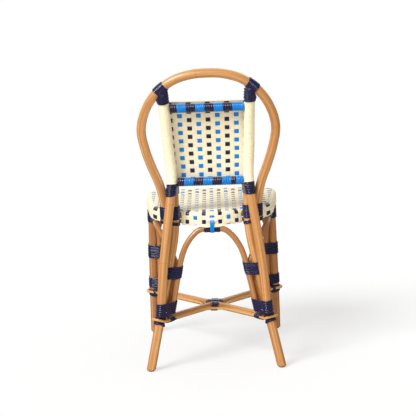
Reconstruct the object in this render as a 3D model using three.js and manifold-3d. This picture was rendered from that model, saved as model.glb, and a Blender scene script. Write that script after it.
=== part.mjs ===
// Rattan bistro chair: bent poles lashed together, a hooped back, a woven seat and a woven back panel.
// Millimetres, +Z up, the sitter faces -Y and left is +X. The origin is on the floor, under the middle.
import * as THREE from "three";
import { mergeVertices } from "three/addons/utils/BufferGeometryUtils.js";
import Module from "manifold-3d";

const wasm = await Module();
wasm.setup();

// Poles
const poleDiameter = 27;
const ringDiameter = 22;
const rimDiameter = 12;
const archDiameter = 17;
const stretcherDiameter = 22;
const caneDiameter = 8;
const railDiameter = 21;
const braceDiameter = 15;

// Fits and strands
const fitGap = 0.3;
const strandThickness = 2;
const strandGap = 1.8;
const weaveThickness = 3.3;
const trimAllowance = 60;

// Hooped back: centre lines, measured up from the floor, down from the hoop's top or up from the seat
const hoopTopHeight = 878;
const hoopFootDrop = 37;
const hoopHalfWidth = 193.5;
const hoopFootDepth = 140;
const hoopTopDepth = 246;
const postTopDrop = 42;
const postWaistRise = 115;
const postHalfSpan = 121;
const postWaistDepth = 178;
const postFootDepth = 229;
const topRailDrop = 102;
const bottomRailRise = 90;
const panelTopRise = 21;
const panelBottomDrop = 12;
const panelThickness = 4.5;
const panelOverlap = 9;

// Legs
const glideHeight = 4;
const glideDiameter = 19;
const glideChamfer = 1.2;
const rearFootHalfSpan = 193.5;
const rearSeatHalfSpan = 108;
const rearFootDepth = 224.6;
const rearLegTopRise = 73;
const rearLegLean = 0.135;
const frontFootHalfSpan = 194.4;
const frontSeatHalfSpan = 184.6;
const frontFootDepth = -215;
const frontLegLean = 0.145;

// Seat: its outline is the centre line of the ring
const seatHeight = 465;
const apronHeight = 43;
const seatRearRadius = 173.5;
const seatCentreDepth = -10;
const seatFrontDepth = -200;
const seatFrontHalfWidth = 188;
const seatCornerRadius = 52;
const seatFrontBow = 8;
const seatDish = 7;
const seatShoulder = 40;
const rimDrop = 18.5;
const lipReach = 16;
const braceDepth = -40;
const braceDrop = 4;
const notchStartAngle = 38.5;
const notchEndAngle = 61.5;

// Stretcher
const stretcherHeight = 144.5;
const stretcherRise = 0.015;
const caneCornerRadius = 55;
const caneTail = 36;
const rearLoopRise = 7;

// Arches: their crowns hang below the seat, their feet stand above the stretcher
const archTopDrop = 13;
const archTieDrop = 98;
const rearArchTieHalfSpan = 97;
const rearArchTopDepth = 171;
const rearArchFootRise = 23.5;
const frontArchTopDepth = -197;
const frontArchFootRise = 10.5;
const sideArchBow = 36;

// Lashings: the length that each covers, and how far it reaches past the piece that it is set by
const rearLegLashing = 43;
const rearLegLashingDrop = 2;
const rearArchLashing = 41;
const rearArchLashingDrop = 41;
const postLashing = 28;
const postLashingRise = 2;
const seatCornerLashing = 44;
const seatCornerLashingRise = 19;
const frontTopLashing = 47;
const frontTopLashingDrop = 3;
const frontArchLashing = 48;
const frontArchLashingDrop = 57;
const frontFootLashing = 37;
const frontFootLashingDrop = 1;
const stretcherLashing = 10;
const rearStretcherLashingDrop = 12.5;
const rearStretcherLashingTilt = 8;
const frontStretcherLashingDrop = 22.5;
const frontStretcherLashingTilt = 3.5;
const postTopLashing = 20;
const postTopLashingRise = 16;
const postTopLashingTilt = 14;
const hoopLashing = 36;
const hoopLashingDrop = 44;
const archTopLashing = 53;
const centreLashing = 24;
const postWindingRise = 13;

// Turns of the windings
const postWindingTurns = 20;
const railWindingTurns = 16;
const wideLashingTurns = 5;
const lashingTurns = 4;
const narrowLashingTurns = 3;
const stretcherLashingTurns = 2;

// Facets
const poleFacets = 10;
const archFacets = 8;
const caneFacets = 6;
const bundleFacets = 10;
const railFacets = 6;
const windingFacets = 8;
const hoopSteps = 48;
const postSteps = 36;
const legSteps = 18;
const frontLegSteps = 9;
const archSteps = 30;
const caneSteps = 36;
const outlineArcSteps = 18;
const outlineCornerSteps = 6;
const outlineSideSteps = 2;
const outlineFrontSteps = 6;

// Seat's dish: shares of its depth at the shoulder and in the hollow, and the hollow's share of the span
const shoulderDishShare = 0.15;
const hollowDishShare = 0.75;
const hollowSpanShare = 0.55;

// Hoop: share of the half width, share of the rise from the foot to the top
const hoopShares = [
  [0.7015, 0],
  [0.7015, 0.07],
  [0.706, 0.138],
  [0.772, 0.271],
  [0.866, 0.382],
  [0.953, 0.504],
  [1, 0.638],
  [0.92, 0.771],
  [0.749, 0.88],
  [0.501, 0.958],
  [0.238, 0.993],
];

// Rear leg: share of the height, share of the spread from the seat to the foot
const rearLegShares = [
  [0, 1],
  [0.249, 0.662],
  [0.595, 0.21],
  [0.725, 0.053],
  [0.818, 0],
  [1, 0],
];

// Front leg: share of the height, share of the way from the foot to the seat
const frontLegShares = [
  [0, 0],
  [0.3, 0.2],
  [0.6, 0.5],
  [0.85, 0.82],
  [1, 1],
];

// Rear post below its waist: share of the rise, of the half span, and of the depth from waist to foot
const lowerPostShares = [
  [0, 1.293, 1],
  [0.12, 1.264, 0.867],
  [0.244, 1.231, 0.725],
  [0.385, 1.182, 0.62],
  [0.596, 1.083, 0.46],
  [0.816, 0.979, 0.19],
  [0.92, 0.93, 0.03],
];

// Rear post from its waist up: share of the rise, of the half span, and of the depth from waist to top
const upperPostShares = [
  [0, 0.922, 0],
  [0.28, 0.964, 0.156],
  [0.68, 1, 0.617],
  [0.86, 1.025, 0.832],
  [1, 1.068, 1],
];

// Rear arch above its tie: share of the rise, share of the half span
const rearArchShares = [
  [0.46, 0.84],
  [0.8, 0.6],
  [0.97, 0.37],
];

// Front arch above its tie: share of the rise, share of the half span
const frontArchShares = [
  [0.42, 0.97],
  [0.77, 0.84],
  [0.96, 0.62],
];

// Side arch from its rear tie to its front tie: share of the way, of the rise and of the bow
const sideArchShares = [
  [0.088, 0.38, 0.36],
  [0.209, 0.7, 0.72],
  [0.36, 0.93, 1],
  [0.511, 1, 0.92],
  [0.663, 0.98, 0.74],
  [0.844, 0.76, 0.4],
  [0.95, 0.38, 0.12],
];

// Where an arch follows its leg: share of the way from its foot to its tie
const limbShares = [0, 0.4, 0.7, 0.88, 1];

// How far along an arch its limb can be lashed
const limbShare = 0.35;

// Where the limbs of the arches lie against a leg: angle round the leg from the outward side
const sideLimbRearAngle = 220;
const sideLimbFrontAngle = 155;
const frontLimbAngle = 230;

// Heights that follow from the sizes above
const hoopFootHeight = seatHeight - hoopFootDrop;
const postTopHeight = hoopTopHeight - postTopDrop;
const postWaistHeight = seatHeight + postWaistRise;
const topRailHeight = hoopTopHeight - topRailDrop;
const bottomRailHeight = seatHeight + bottomRailRise;
const panelTopHeight = topRailHeight + panelTopRise;
const panelBottomHeight = bottomRailHeight - panelBottomDrop;
const rearLegTopHeight = seatHeight + rearLegTopRise;
const lipHeight = seatHeight - apronHeight;
const archTopHeight = lipHeight - archTopDrop;
const archTieHeight = archTopHeight - archTieDrop;
const rearArchFootHeight = stretcherHeight + rearArchFootRise;
const frontArchFootHeight = stretcherHeight + frontArchFootRise;
const postFootHeight = rearArchFootHeight;

const rattan = new THREE.MeshStandardMaterial({ color: 0xc98f52, roughness: 0.45, metalness: 0 });
const paleCane = new THREE.MeshStandardMaterial({ color: 0xdcb680, roughness: 0.5, metalness: 0 });
const cream = new THREE.MeshStandardMaterial({ color: 0xf6edcf, roughness: 0.42, metalness: 0 });
const navy = new THREE.MeshStandardMaterial({ color: 0x23264c, roughness: 0.35, metalness: 0 });
const blue = new THREE.MeshStandardMaterial({ color: 0x0b7fdc, roughness: 0.35, metalness: 0 });
const nylon = new THREE.MeshStandardMaterial({ color: 0xa9a9a4, roughness: 0.6, metalness: 0 });

const chair = new THREE.Group();
const sides = [
  { name: "left", sign: 1 },
  { name: "right", sign: -1 },
];
const point = (x, y, z) => new THREE.Vector3(x, y, z);
const mix = (from, to, share) => from + (to - from) * share;
const radians = THREE.MathUtils.degToRad;
const loose = (diameter) => diameter + 2 * fitGap;

function addPart(name, geometry, material) {
  const mesh = new THREE.Mesh(geometry, material);
  mesh.name = name;
  chair.add(mesh);
}

function smoothCurve(points) {
  return new THREE.CatmullRomCurve3(points, false, "centripetal");
}

// Round pole along an open curve, with a flat end each way
function pole(curve, diameter, steps, facets = poleFacets) {
  const section = new THREE.Shape();
  section.absarc(0, 0, diameter / 2, 0, 2 * Math.PI);
  const options = { steps, extrudePath: curve, bevelEnabled: false, curveSegments: facets / 2 };
  return new THREE.ExtrudeGeometry(section, options);
}

// Closed mesh of points and triangles, turned round where its faces point inwards
function closedMesh(points, faces) {
  let volume = 0;
  const cross = new THREE.Vector3();
  for (const [a, b, c] of faces) {
    volume += points[a].dot(cross.crossVectors(points[b], points[c]));
  }
  const turned = volume < 0 ? faces.map(([a, b, c]) => [a, c, b]) : faces;
  const geometry = new THREE.BufferGeometry().setFromPoints(points);
  geometry.setIndex(turned.flat());
  return geometry;
}

// Triangles between rings of points that follow one another, the last joined to the first if endless
function skinFaces(ringCount, ringSize, endless) {
  const faces = [];
  const last = endless ? ringCount : ringCount - 1;
  for (let ring = 0; ring < last; ring += 1) {
    const next = (ring + 1) % ringCount;
    for (let side = 0; side < ringSize; side += 1) {
      const after = (side + 1) % ringSize;
      const a = ring * ringSize + side;
      const b = ring * ringSize + after;
      const c = next * ringSize + after;
      const d = next * ringSize + side;
      faces.push([a, b, c], [a, c, d]);
    }
  }
  return faces;
}

function toSolid(geometry) {
  const bare = geometry.clone();
  bare.deleteAttribute("normal");
  bare.deleteAttribute("uv");
  const merged = mergeVertices(bare, fitGap / 1000);
  const vertProperties = new Float32Array(merged.attributes.position.array);
  const triVerts = new Uint32Array(merged.index.array);
  return new wasm.Manifold(new wasm.Mesh({ numProp: 3, vertProperties, triVerts }));
}

function toGeometry(solid) {
  const mesh = solid.getMesh();
  const geometry = new THREE.BufferGeometry();
  geometry.setAttribute("position", new THREE.BufferAttribute(new Float32Array(mesh.vertProperties), 3));
  geometry.setIndex(new THREE.BufferAttribute(new Uint32Array(mesh.triVerts), 1));
  return geometry;
}

function cutSolid(geometry, cutters) {
  let solid = toSolid(geometry);
  for (const cutter of cutters) {
    solid = solid.subtract(toSolid(cutter));
  }
  return solid;
}

function cutAway(geometry, cutters) {
  return toGeometry(cutSolid(geometry, cutters));
}

// Where a curve that rises all the way meets a height, as a share of its length
function shareAtHeight(curve, height) {
  let low = 0;
  let high = 1;
  while (high - low > Number.EPSILON * 64) {
    const middle = (low + high) / 2;
    if (curve.getPointAt(middle).z < height) {
      low = middle;
    } else {
      high = middle;
    }
  }
  return (low + high) / 2;
}

function pointAtHeight(curve, height) {
  return curve.getPointAt(shareAtHeight(curve, height));
}

// Where upright poles reach farthest towards an angle at a height, and which of them does
function farthestReach(members, height, angle) {
  const out = point(Math.cos(angle), Math.sin(angle), 0);
  const reaches = members.map(({ curve, diameter }) => {
    return pointAtHeight(curve, height).dot(out) + (diameter / 2) * slant + fitGap;
  });
  const reach = Math.max(...reaches);
  return { reach, member: reaches.indexOf(reach) };
}

// Directions in which a taut strand lies flat round upright poles: across each gap, and round each pole
function strandDirections(members, height) {
  const tries = 720;
  const flats = [];
  let before = farthestReach(members, height, 0).member;
  for (let step = 1; step <= tries; step += 1) {
    const angle = (2 * Math.PI * step) / tries;
    const { member } = farthestReach(members, height, angle);
    if (member !== before) {
      flats.push(angle - Math.PI / tries);
    }
    before = member;
  }
  if (flats.length === 0) {
    flats.push(0);
  }
  const directions = [];
  flats.forEach((flat, index) => {
    const last = index === flats.length - 1;
    const turn = (last ? flats[0] + 2 * Math.PI : flats[index + 1]) - flat;
    const count = Math.max(1, Math.round((turn / (2 * Math.PI)) * bundleFacets));
    for (let step = 0; step < count; step += 1) {
      directions.push(flat + (turn * step) / count);
    }
  });
  return directions;
}

// Outline that a taut strand takes round upright poles, between two heights
function bundleSection(members, low, high) {
  const directions = strandDirections(members, (low + high) / 2);
  const facets = directions.length;
  const place = (share, corner, lift, along) => {
    const height = mix(low, high, share) + along;
    const first = directions[corner % facets];
    const second = directions[(corner + 1) % facets];
    const firstReach = farthestReach(members, height, first).reach + lift;
    const secondReach = farthestReach(members, height, second).reach + lift;
    const x = firstReach * Math.sin(second) - secondReach * Math.sin(first);
    const y = secondReach * Math.cos(first) - firstReach * Math.cos(second);
    const spread = Math.sin(second - first);
    return point(x / spread, y / spread, height);
  };
  return { facets, place, directions };
}

// Outline of a strand round one pole, between two shares of the pole's length
function poleSection(curve, diameter, from, to, facets) {
  const steps = 200;
  const frames = curve.computeFrenetFrames(steps, false);
  const place = (share, corner, lift, along) => {
    const angle = (2 * Math.PI * corner) / facets;
    const where = mix(from, to, share);
    const frame = Math.round(where * steps);
    const radius = (diameter / 2 + fitGap + lift) / Math.cos(Math.PI / facets);
    const at = curve.getPointAt(where);
    at.addScaledVector(frames.normals[frame], radius * Math.cos(angle));
    at.addScaledVector(frames.binormals[frame], radius * Math.sin(angle));
    return at.addScaledVector(frames.tangents[frame], along);
  };
  return { facets, place };
}

// Least distance from the points of a strand to those that lie half a turn or more further on
function leastSelfGap(points, ringSize, facets) {
  let least = Infinity;
  const skipped = ringSize * Math.floor(facets / 2);
  for (let a = 0; a < points.length; a += 1) {
    for (let b = a + skipped; b < points.length; b += 1) {
      least = Math.min(least, points[a].distanceToSquared(points[b]));
    }
  }
  return Math.sqrt(least);
}

const selfGaps = [];

// One unbroken strand wound round a section: a ridge on a flat bed, in turns that never touch
function winding(name, { facets, place }, length, turns, bend = () => 0) {
  const width = length / (turns + 1) - strandGap;
  const count = turns * facets;
  const points = [];
  for (let step = 0; step <= count; step += 1) {
    const share = step / count;
    const shift = bend(share, step);
    points.push(place(share, step, 0, shift - width / 2));
    points.push(place(share, step, 0, shift + width / 2));
    points.push(place(share, step, strandThickness, shift));
  }
  selfGaps.push({ name, gap: leastSelfGap(points, 3, facets) });
  const end = count * 3;
  const faces = [...skinFaces(count + 1, 3, false), [0, 2, 1], [end, end + 1, end + 2]];
  return closedMesh(points, faces);
}

// Lashing round upright poles; a tilt lifts its turns towards an angle, and can grow from turn to turn
function addLashing(name, members, low, length, turns, { tilt, lifted, growing } = { tilt: 0 }) {
  const halfPitch = length / (turns + 1) / 2;
  const section = bundleSection(members, low + halfPitch, low + length - halfPitch);
  const bend = (share, corner) => {
    const angle = section.directions[corner % section.facets] + Math.PI / section.facets;
    return tilt === 0 ? 0 : tilt * (growing ? share : 1) * Math.cos(angle - lifted);
  };
  addPart(name, winding(name, section, length, turns, bend), navy);
}

// Winding along one pole, its middle at a share of the pole's length
function addPoleWinding(name, curve, diameter, middle, length, turns, facets, material) {
  const reach = (length / curve.getLength()) * (turns / (turns + 1)) / 2;
  const section = poleSection(curve, diameter, middle - reach, middle + reach, facets);
  addPart(name, winding(name, section, length, turns), material);
}

// Seat outline: a round rear, straight sides that widen to the front and a bowed front edge
function seatOutline() {
  const sideLength = seatCentreDepth - seatFrontDepth - seatCornerRadius;
  const flare = Math.atan2(seatFrontHalfWidth - seatRearRadius, sideLength);
  const corner = point(seatFrontHalfWidth - seatCornerRadius, seatFrontDepth + seatCornerRadius, 0);
  const path = [];
  for (let step = 0; step <= outlineArcSteps; step += 1) {
    const angle = mix(flare, Math.PI - flare, step / outlineArcSteps);
    const out = point(Math.cos(angle), Math.sin(angle), 0);
    path.push({ at: point(0, seatCentreDepth, 0).addScaledVector(out, seatRearRadius), out });
  }
  const front = [];
  for (let step = 0; step <= outlineCornerSteps; step += 1) {
    const angle = mix(flare, -Math.PI / 2, step / outlineCornerSteps);
    const out = point(Math.cos(angle), Math.sin(angle), 0);
    front.push({ at: corner.clone().addScaledVector(out, seatCornerRadius), out });
  }
  const sideRun = [];
  for (let step = 1; step < outlineSideSteps; step += 1) {
    const at = path[0].at.clone().lerp(front[0].at, step / outlineSideSteps);
    sideRun.push({ at, out: path[0].out });
  }
  const right = [...sideRun, ...front];
  const left = right.map(({ at, out }) => ({ at: point(-at.x, at.y, 0), out: point(-out.x, out.y, 0) }));
  const bowed = [];
  for (let step = 1; step < outlineFrontSteps; step += 1) {
    const share = (2 * step) / outlineFrontSteps - 1;
    const depth = seatFrontDepth - seatFrontBow * (1 - share * share);
    bowed.push({ at: point(corner.x * share, depth, 0), out: point(0, -1, 0) });
  }
  return [...path, ...left, ...bowed, ...right.reverse()];
}

const outline = seatOutline();
const ringHeight = seatHeight - weaveThickness - fitGap - ringDiameter / 2;
const rimHeight = ringHeight - rimDrop;
const ringToSkin = ringDiameter / 2 + fitGap + weaveThickness;

// Round pole along the seat outline, without ends
function endlessPole(offset, height, diameter, facets) {
  const points = [];
  for (const { at, out } of outline) {
    for (let side = 0; side < facets; side += 1) {
      const angle = (2 * Math.PI * side) / facets;
      const reach = offset + (diameter / 2) * Math.cos(angle);
      const rise = (diameter / 2) * Math.sin(angle);
      points.push(point(at.x + out.x * reach, at.y + out.y * reach, height + rise));
    }
  }
  return closedMesh(points, skinFaces(outline.length, facets, true));
}

// Curves of the poles

// How much longer a level cut across a leaning pole is than the pole is thick
const slant = Math.hypot(1, (hoopTopDepth - hoopFootDepth) / (hoopTopHeight - hoopFootHeight));

function hoopPoint([across, rise], sign) {
  const height = mix(hoopFootHeight, hoopTopHeight, rise);
  const depth = mix(hoopFootDepth, hoopTopDepth, rise);
  return point(sign * across * hoopHalfWidth, depth, height);
}

function hoopCurve() {
  const left = hoopShares.map((share) => hoopPoint(share, 1));
  const right = hoopShares.map((share) => hoopPoint(share, -1)).reverse();
  return smoothCurve([...left, hoopPoint([0, 1], 1), ...right]);
}

// One side of the hoop, which rises all the way from its foot to its top
function hoopSideCurve(sign) {
  return smoothCurve([...hoopShares, [0, 1]].map((share) => hoopPoint(share, sign)));
}

// The foot runs on past the floor, to be trimmed level there
function carriedPast(points) {
  const slope = points[0].clone().sub(points[1]);
  slope.multiplyScalar(poleDiameter / Math.abs(slope.z));
  return [points[0].clone().add(slope), ...points];
}

function rearLegCurve(sign) {
  const points = rearLegShares.map(([rise, spread]) => {
    const height = rise * rearLegTopHeight;
    const across = mix(rearSeatHalfSpan, rearFootHalfSpan, spread);
    return point(sign * across, rearFootDepth - rearLegLean * height, height);
  });
  return smoothCurve(carriedPast(points));
}

function frontLegCurve(sign) {
  const points = frontLegShares.map(([rise, inward]) => {
    const height = rise * ringHeight;
    const across = mix(frontFootHalfSpan, frontSeatHalfSpan, inward);
    return point(sign * across, frontFootDepth + frontLegLean * height, height);
  });
  return smoothCurve(carriedPast(points));
}

function postCurve(sign) {
  const topShare = (postTopHeight - hoopFootHeight) / (hoopTopHeight - hoopFootHeight);
  const topDepth = mix(hoopFootDepth, hoopTopDepth, topShare);
  const lower = lowerPostShares.map(([rise, across, depth]) => {
    const y = mix(postWaistDepth, postFootDepth, depth);
    return point(sign * across * postHalfSpan, y, mix(postFootHeight, postWaistHeight, rise));
  });
  const upper = upperPostShares.map(([rise, across, depth]) => {
    const y = mix(postWaistDepth, topDepth, depth);
    return point(sign * across * postHalfSpan, y, mix(postWaistHeight, postTopHeight, rise));
  });
  return smoothCurve([...lower, ...upper]);
}

// Centre line of an arch limb held against a leg
function limbPoint(leg, sign, height, angle) {
  const reach = (poleDiameter / 2 + archDiameter / 2 + fitGap) * slant;
  const at = pointAtHeight(leg, height);
  at.x += sign * reach * Math.cos(radians(angle));
  at.y += reach * Math.sin(radians(angle));
  return at;
}

const hoop = hoopCurve();
const hoopSides = sides.map(({ sign }) => hoopSideCurve(sign));
const posts = sides.map(({ sign }) => postCurve(sign));
const rearLegs = sides.map(({ sign }) => rearLegCurve(sign));
const frontLegs = sides.map(({ sign }) => frontLegCurve(sign));
const woundPost = (poleDiameter + 2 * (fitGap + strandThickness)) / Math.cos(Math.PI / windingFacets);
const woundPostClear = loose(woundPost);

// Heights at which the foot of an arch follows its leg
function limbHeights(foot) {
  return limbShares.map((share) => mix(foot, archTieHeight, share));
}

// The rear arch stands off the legs by the width of the side arches' limbs
function rearArchCurve() {
  const tie = pointAtHeight(rearLegs[0], archTieHeight);
  const half = limbHeights(rearArchFootHeight).map((height) => {
    const at = pointAtHeight(rearLegs[0], height);
    return point(at.x - tie.x + rearArchTieHalfSpan, at.y, height);
  });
  for (const [rise, across] of rearArchShares) {
    const depth = mix(tie.y, rearArchTopDepth, rise);
    half.push(point(across * rearArchTieHalfSpan, depth, mix(archTieHeight, archTopHeight, rise)));
  }
  const other = half.map(({ x, y, z }) => point(-x, y, z)).reverse();
  return smoothCurve([...half, point(0, rearArchTopDepth, archTopHeight), ...other]);
}

function frontArchCurve() {
  const half = limbHeights(frontArchFootHeight).map((height) => {
    return limbPoint(frontLegs[0], 1, height, frontLimbAngle);
  });
  const tie = half.at(-1);
  for (const [rise, across] of frontArchShares) {
    const depth = mix(tie.y, frontArchTopDepth, rise);
    half.push(point(across * tie.x, depth, mix(archTieHeight, archTopHeight, rise)));
  }
  const other = half.map(({ x, y, z }) => point(-x, y, z)).reverse();
  return smoothCurve([...half, point(0, frontArchTopDepth, archTopHeight), ...other]);
}

function sideArchCurve(index, sign) {
  const limb = (leg, foot, angle) => {
    return limbHeights(foot).map((height) => limbPoint(leg, sign, height, angle));
  };
  const rear = limb(rearLegs[index], rearArchFootHeight, sideLimbRearAngle);
  const front = limb(frontLegs[index], frontArchFootHeight, sideLimbFrontAngle).reverse();
  const crown = sideArchShares.map(([along, rise, bow]) => {
    const at = rear.at(-1).clone().lerp(front[0], along);
    return point(at.x + sign * bow * sideArchBow, at.y, mix(archTieHeight, archTopHeight, rise));
  });
  return smoothCurve([...rear, ...crown, ...front]);
}

const rearArch = rearArchCurve();
const frontArch = frontArchCurve();
const sideArches = sides.map(({ sign }, index) => sideArchCurve(index, sign));

// Part of an arch up to its crown, which rises all the way
function limbOf(curve, from, to) {
  const points = [];
  const count = 24;
  for (let step = 0; step <= count; step += 1) {
    points.push(curve.getPointAt(mix(from, to, step / count)));
  }
  return smoothCurve(points);
}

// Pieces of the back

function addHoop() {
  addPart("hoop", pole(hoop, poleDiameter, hoopSteps), rattan);
}

function addPosts() {
  const seat = pole(hoop, woundPostClear, hoopSteps);
  sides.forEach(({ name }, index) => {
    addPart(`rear_post_${name}`, cutAway(pole(posts[index], poleDiameter, postSteps), [seat]), rattan);
  });
}

function railCurve(height) {
  const at = pointAtHeight(posts[0], height);
  return new THREE.LineCurve3(point(-at.x, at.y, height), point(at.x, at.y, height));
}

function addRails() {
  const seats = posts.map((post) => pole(post, woundPostClear, postSteps));
  const heights = { bottom: bottomRailHeight, top: topRailHeight };
  for (const [name, height] of Object.entries(heights)) {
    const curve = railCurve(height);
    addPart(`back_rail_${name}`, cutAway(pole(curve, railDiameter, 1), seats), rattan);
    const length = curve.getLength() - woundPostClear - railDiameter / 4;
    const part = `rail_winding_${name}`;
    addPoleWinding(part, curve, railDiameter, 0.5, length, railWindingTurns, railFacets, blue);
  }
}

function addPostWindings() {
  sides.forEach(({ name }, index) => {
    const low = shareAtHeight(posts[index], panelBottomHeight);
    const high = shareAtHeight(posts[index], topRailHeight + postWindingRise);
    const length = (high - low) * posts[index].getLength();
    const middle = (low + high) / 2;
    const part = `post_winding_${name}`;
    addPoleWinding(part, posts[index], poleDiameter, middle, length, postWindingTurns, windingFacets, cream);
  });
}

// Woven panel on the sitter's side of the posts, leaning and widening with them
function addBackWeave() {
  const rows = 8;
  const points = [];
  for (let row = 0; row <= rows; row += 1) {
    const height = mix(panelBottomHeight, panelTopHeight, row / rows);
    const post = pointAtHeight(posts[0], height);
    const back = post.y - (woundPostClear / 2) * slant;
    const half = post.x + panelOverlap;
    points.push(point(-half, back, height));
    points.push(point(half, back, height));
    points.push(point(half, back - panelThickness, height));
    points.push(point(-half, back - panelThickness, height));
  }
  const end = rows * 4;
  const ends = [[0, 1, 2], [0, 2, 3], [end, end + 2, end + 1], [end, end + 3, end + 2]];
  const faces = [...skinFaces(rows + 1, 4, false).map(([a, b, c]) => [a, c, b]), ...ends];
  addPart("back_weave", closedMesh(points, faces), cream);
}

// Pieces of the base

function floorBlock() {
  const width = 4 * hoopHalfWidth;
  const block = new THREE.BoxGeometry(width, width, trimAllowance);
  block.translate(0, 0, glideHeight + fitGap - trimAllowance / 2);
  return block;
}

function addLegs() {
  const floor = floorBlock();
  const ring = endlessPole(0, ringHeight, loose(ringDiameter), archFacets);
  sides.forEach(({ name }, index) => {
    const rearLeg = pole(rearLegs[index], poleDiameter, legSteps);
    const frontLeg = pole(frontLegs[index], poleDiameter, frontLegSteps);
    addPart(`rear_leg_${name}`, cutAway(rearLeg, [floor]), rattan);
    addPart(`front_leg_${name}`, cutAway(frontLeg, [floor, ring]), rattan);
  });
}

function addGlides() {
  const radius = glideDiameter / 2;
  const profile = [
    new THREE.Vector2(0, 0),
    new THREE.Vector2(radius - glideChamfer, 0),
    new THREE.Vector2(radius, glideChamfer),
    new THREE.Vector2(radius, glideHeight),
    new THREE.Vector2(0, glideHeight),
  ];
  const feet = { rear: rearLegs, front: frontLegs };
  for (const [end, legs] of Object.entries(feet)) {
    sides.forEach(({ name }, index) => {
      const glide = new THREE.LatheGeometry(profile, poleFacets);
      glide.rotateX(Math.PI / 2);
      const foot = pointAtHeight(legs[index], glideHeight);
      glide.translate(foot.x, foot.y, 0);
      addPart(`foot_glide_${end}_${name}`, glide, nylon);
    });
  }
}

function addSeatFrame() {
  addPart("seat_ring", endlessPole(0, ringHeight, ringDiameter, archFacets), rattan);
  const rim = endlessPole((ringDiameter - rimDiameter) / 2, rimHeight, rimDiameter, caneFacets);
  const legs = frontLegs.map((leg) => pole(leg, loose(poleDiameter), frontLegSteps));
  const [first, second] = cutSolid(rim, legs).decompose();
  const rearFirst = first.boundingBox().max[1] > second.boundingBox().max[1];
  addPart("seat_rim_rear", toGeometry(rearFirst ? first : second), rattan);
  addPart("seat_rim_front", toGeometry(rearFirst ? second : first), rattan);
  const height = ringHeight - braceDrop;
  const [{ at, out }] = outline;
  const span = at.x + ((at.y - braceDepth) * out.y) / out.x;
  const brace = new THREE.LineCurve3(point(-span, braceDepth, height), point(span, braceDepth, height));
  const ring = endlessPole(0, ringHeight, loose(ringDiameter), archFacets);
  addPart("seat_brace", cutAway(pole(brace, braceDiameter, 1, archFacets), [ring]), rattan);
}

function addArches() {
  addPart("arch_rear", pole(rearArch, archDiameter, archSteps, archFacets), rattan);
  addPart("arch_front", pole(frontArch, archDiameter, archSteps, archFacets), rattan);
  sides.forEach(({ name }, index) => {
    addPart(`arch_${name}`, pole(sideArches[index], archDiameter, archSteps, archFacets), rattan);
  });
}

// Woven seat: a dished skin over the ring, with an apron and a lip turned in under the rim
function skinRings() {
  const quarter = [0, 30, 60, 90];
  const around = (radius, angles) => angles.map((angle) => ({
    offset: radius * Math.cos(radians(angle)),
    height: ringHeight + radius * Math.sin(radians(angle)),
  }));
  const bedRadius = (ringDiameter / 2 + fitGap) / Math.cos(radians(quarter[1]) / 2);
  const lipOffset = ringToSkin - lipReach;
  const shoulder = seatHeight - seatDish * shoulderDishShare;
  const hollow = seatHeight - seatDish * hollowDishShare;
  return [
    { shrink: hollowSpanShare, height: hollow },
    { offset: -seatShoulder, height: shoulder },
    ...around(ringToSkin, quarter.toReversed()),
    { offset: ringToSkin, height: lipHeight },
    { offset: lipOffset, height: lipHeight },
    { offset: lipOffset, height: lipHeight + weaveThickness },
    { offset: bedRadius, height: lipHeight + weaveThickness },
    ...around(bedRadius, quarter),
    { offset: -seatShoulder, height: shoulder - weaveThickness },
    { shrink: hollowSpanShare, height: hollow - weaveThickness },
  ];
}

function seatSkin() {
  const middle = point(0, (seatCentreDepth + seatFrontDepth) / 2, 0);
  const rings = skinRings();
  const points = [];
  for (const { shrink, offset, height } of rings) {
    for (const { at, out } of outline) {
      const moved = shrink ? middle.clone().lerp(at, shrink) : at.clone().addScaledVector(out, offset);
      points.push(moved.setZ(height));
    }
  }
  const top = points.push(middle.clone().setZ(seatHeight - seatDish)) - 1;
  const under = points.push(middle.clone().setZ(seatHeight - seatDish - weaveThickness)) - 1;
  const count = outline.length;
  const lastRing = (rings.length - 1) * count;
  const faces = skinFaces(rings.length, count, false);
  for (let side = 0; side < count; side += 1) {
    const after = (side + 1) % count;
    faces.push([top, after, side], [under, lastRing + side, lastRing + after]);
  }
  return closedMesh(points, faces);
}

// Opening in the seat's rear corner, where the leg and the hoop's foot stand against the ring
function cornerNotch(sign) {
  const inner = seatRearRadius + ringDiameter / 2 - strandThickness;
  const outer = inner + trimAllowance;
  const corner = (radius, angle) => {
    return [sign * radius * Math.cos(radians(angle)), seatCentreDepth + radius * Math.sin(radians(angle))];
  };
  const shape = new THREE.Shape();
  shape.moveTo(...corner(inner, notchStartAngle));
  shape.lineTo(...corner(outer, notchStartAngle));
  shape.lineTo(...corner(outer, notchEndAngle));
  shape.lineTo(...corner(inner, notchEndAngle));
  shape.closePath();
  const notch = new THREE.ExtrudeGeometry(shape, { depth: 2 * trimAllowance, bevelEnabled: false });
  notch.translate(0, 0, ringHeight - trimAllowance);
  return notch;
}

function addSeatWeave() {
  const notches = sides.map(({ sign }) => cornerNotch(sign));
  const legs = frontLegs.map((leg) => pole(leg, loose(poleDiameter), frontLegSteps));
  addPart("seat_weave", cutAway(seatSkin(), [...notches, ...legs]), cream);
}

// Stretcher: two poles that cross in a half-lap, and thin canes that run beside them round the legs

function stretcherSeat(leg) {
  const level = pointAtHeight(leg, stretcherHeight);
  return pointAtHeight(leg, stretcherHeight + stretcherRise * level.y);
}

const [rearLeft, rearRight] = rearLegs.map(stretcherSeat);
const [frontLeft, frontRight] = frontLegs.map(stretcherSeat);
const crossing = rearLeft.clone().lerp(frontRight, rearLeft.x / (rearLeft.x - frontRight.x));
const corners = [
  { name: "rear_left", at: rearLeft, lift: rearLoopRise },
  { name: "rear_right", at: rearRight, lift: rearLoopRise },
  { name: "front_right", at: frontRight, lift: 0 },
  { name: "front_left", at: frontLeft, lift: 0 },
];

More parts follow.
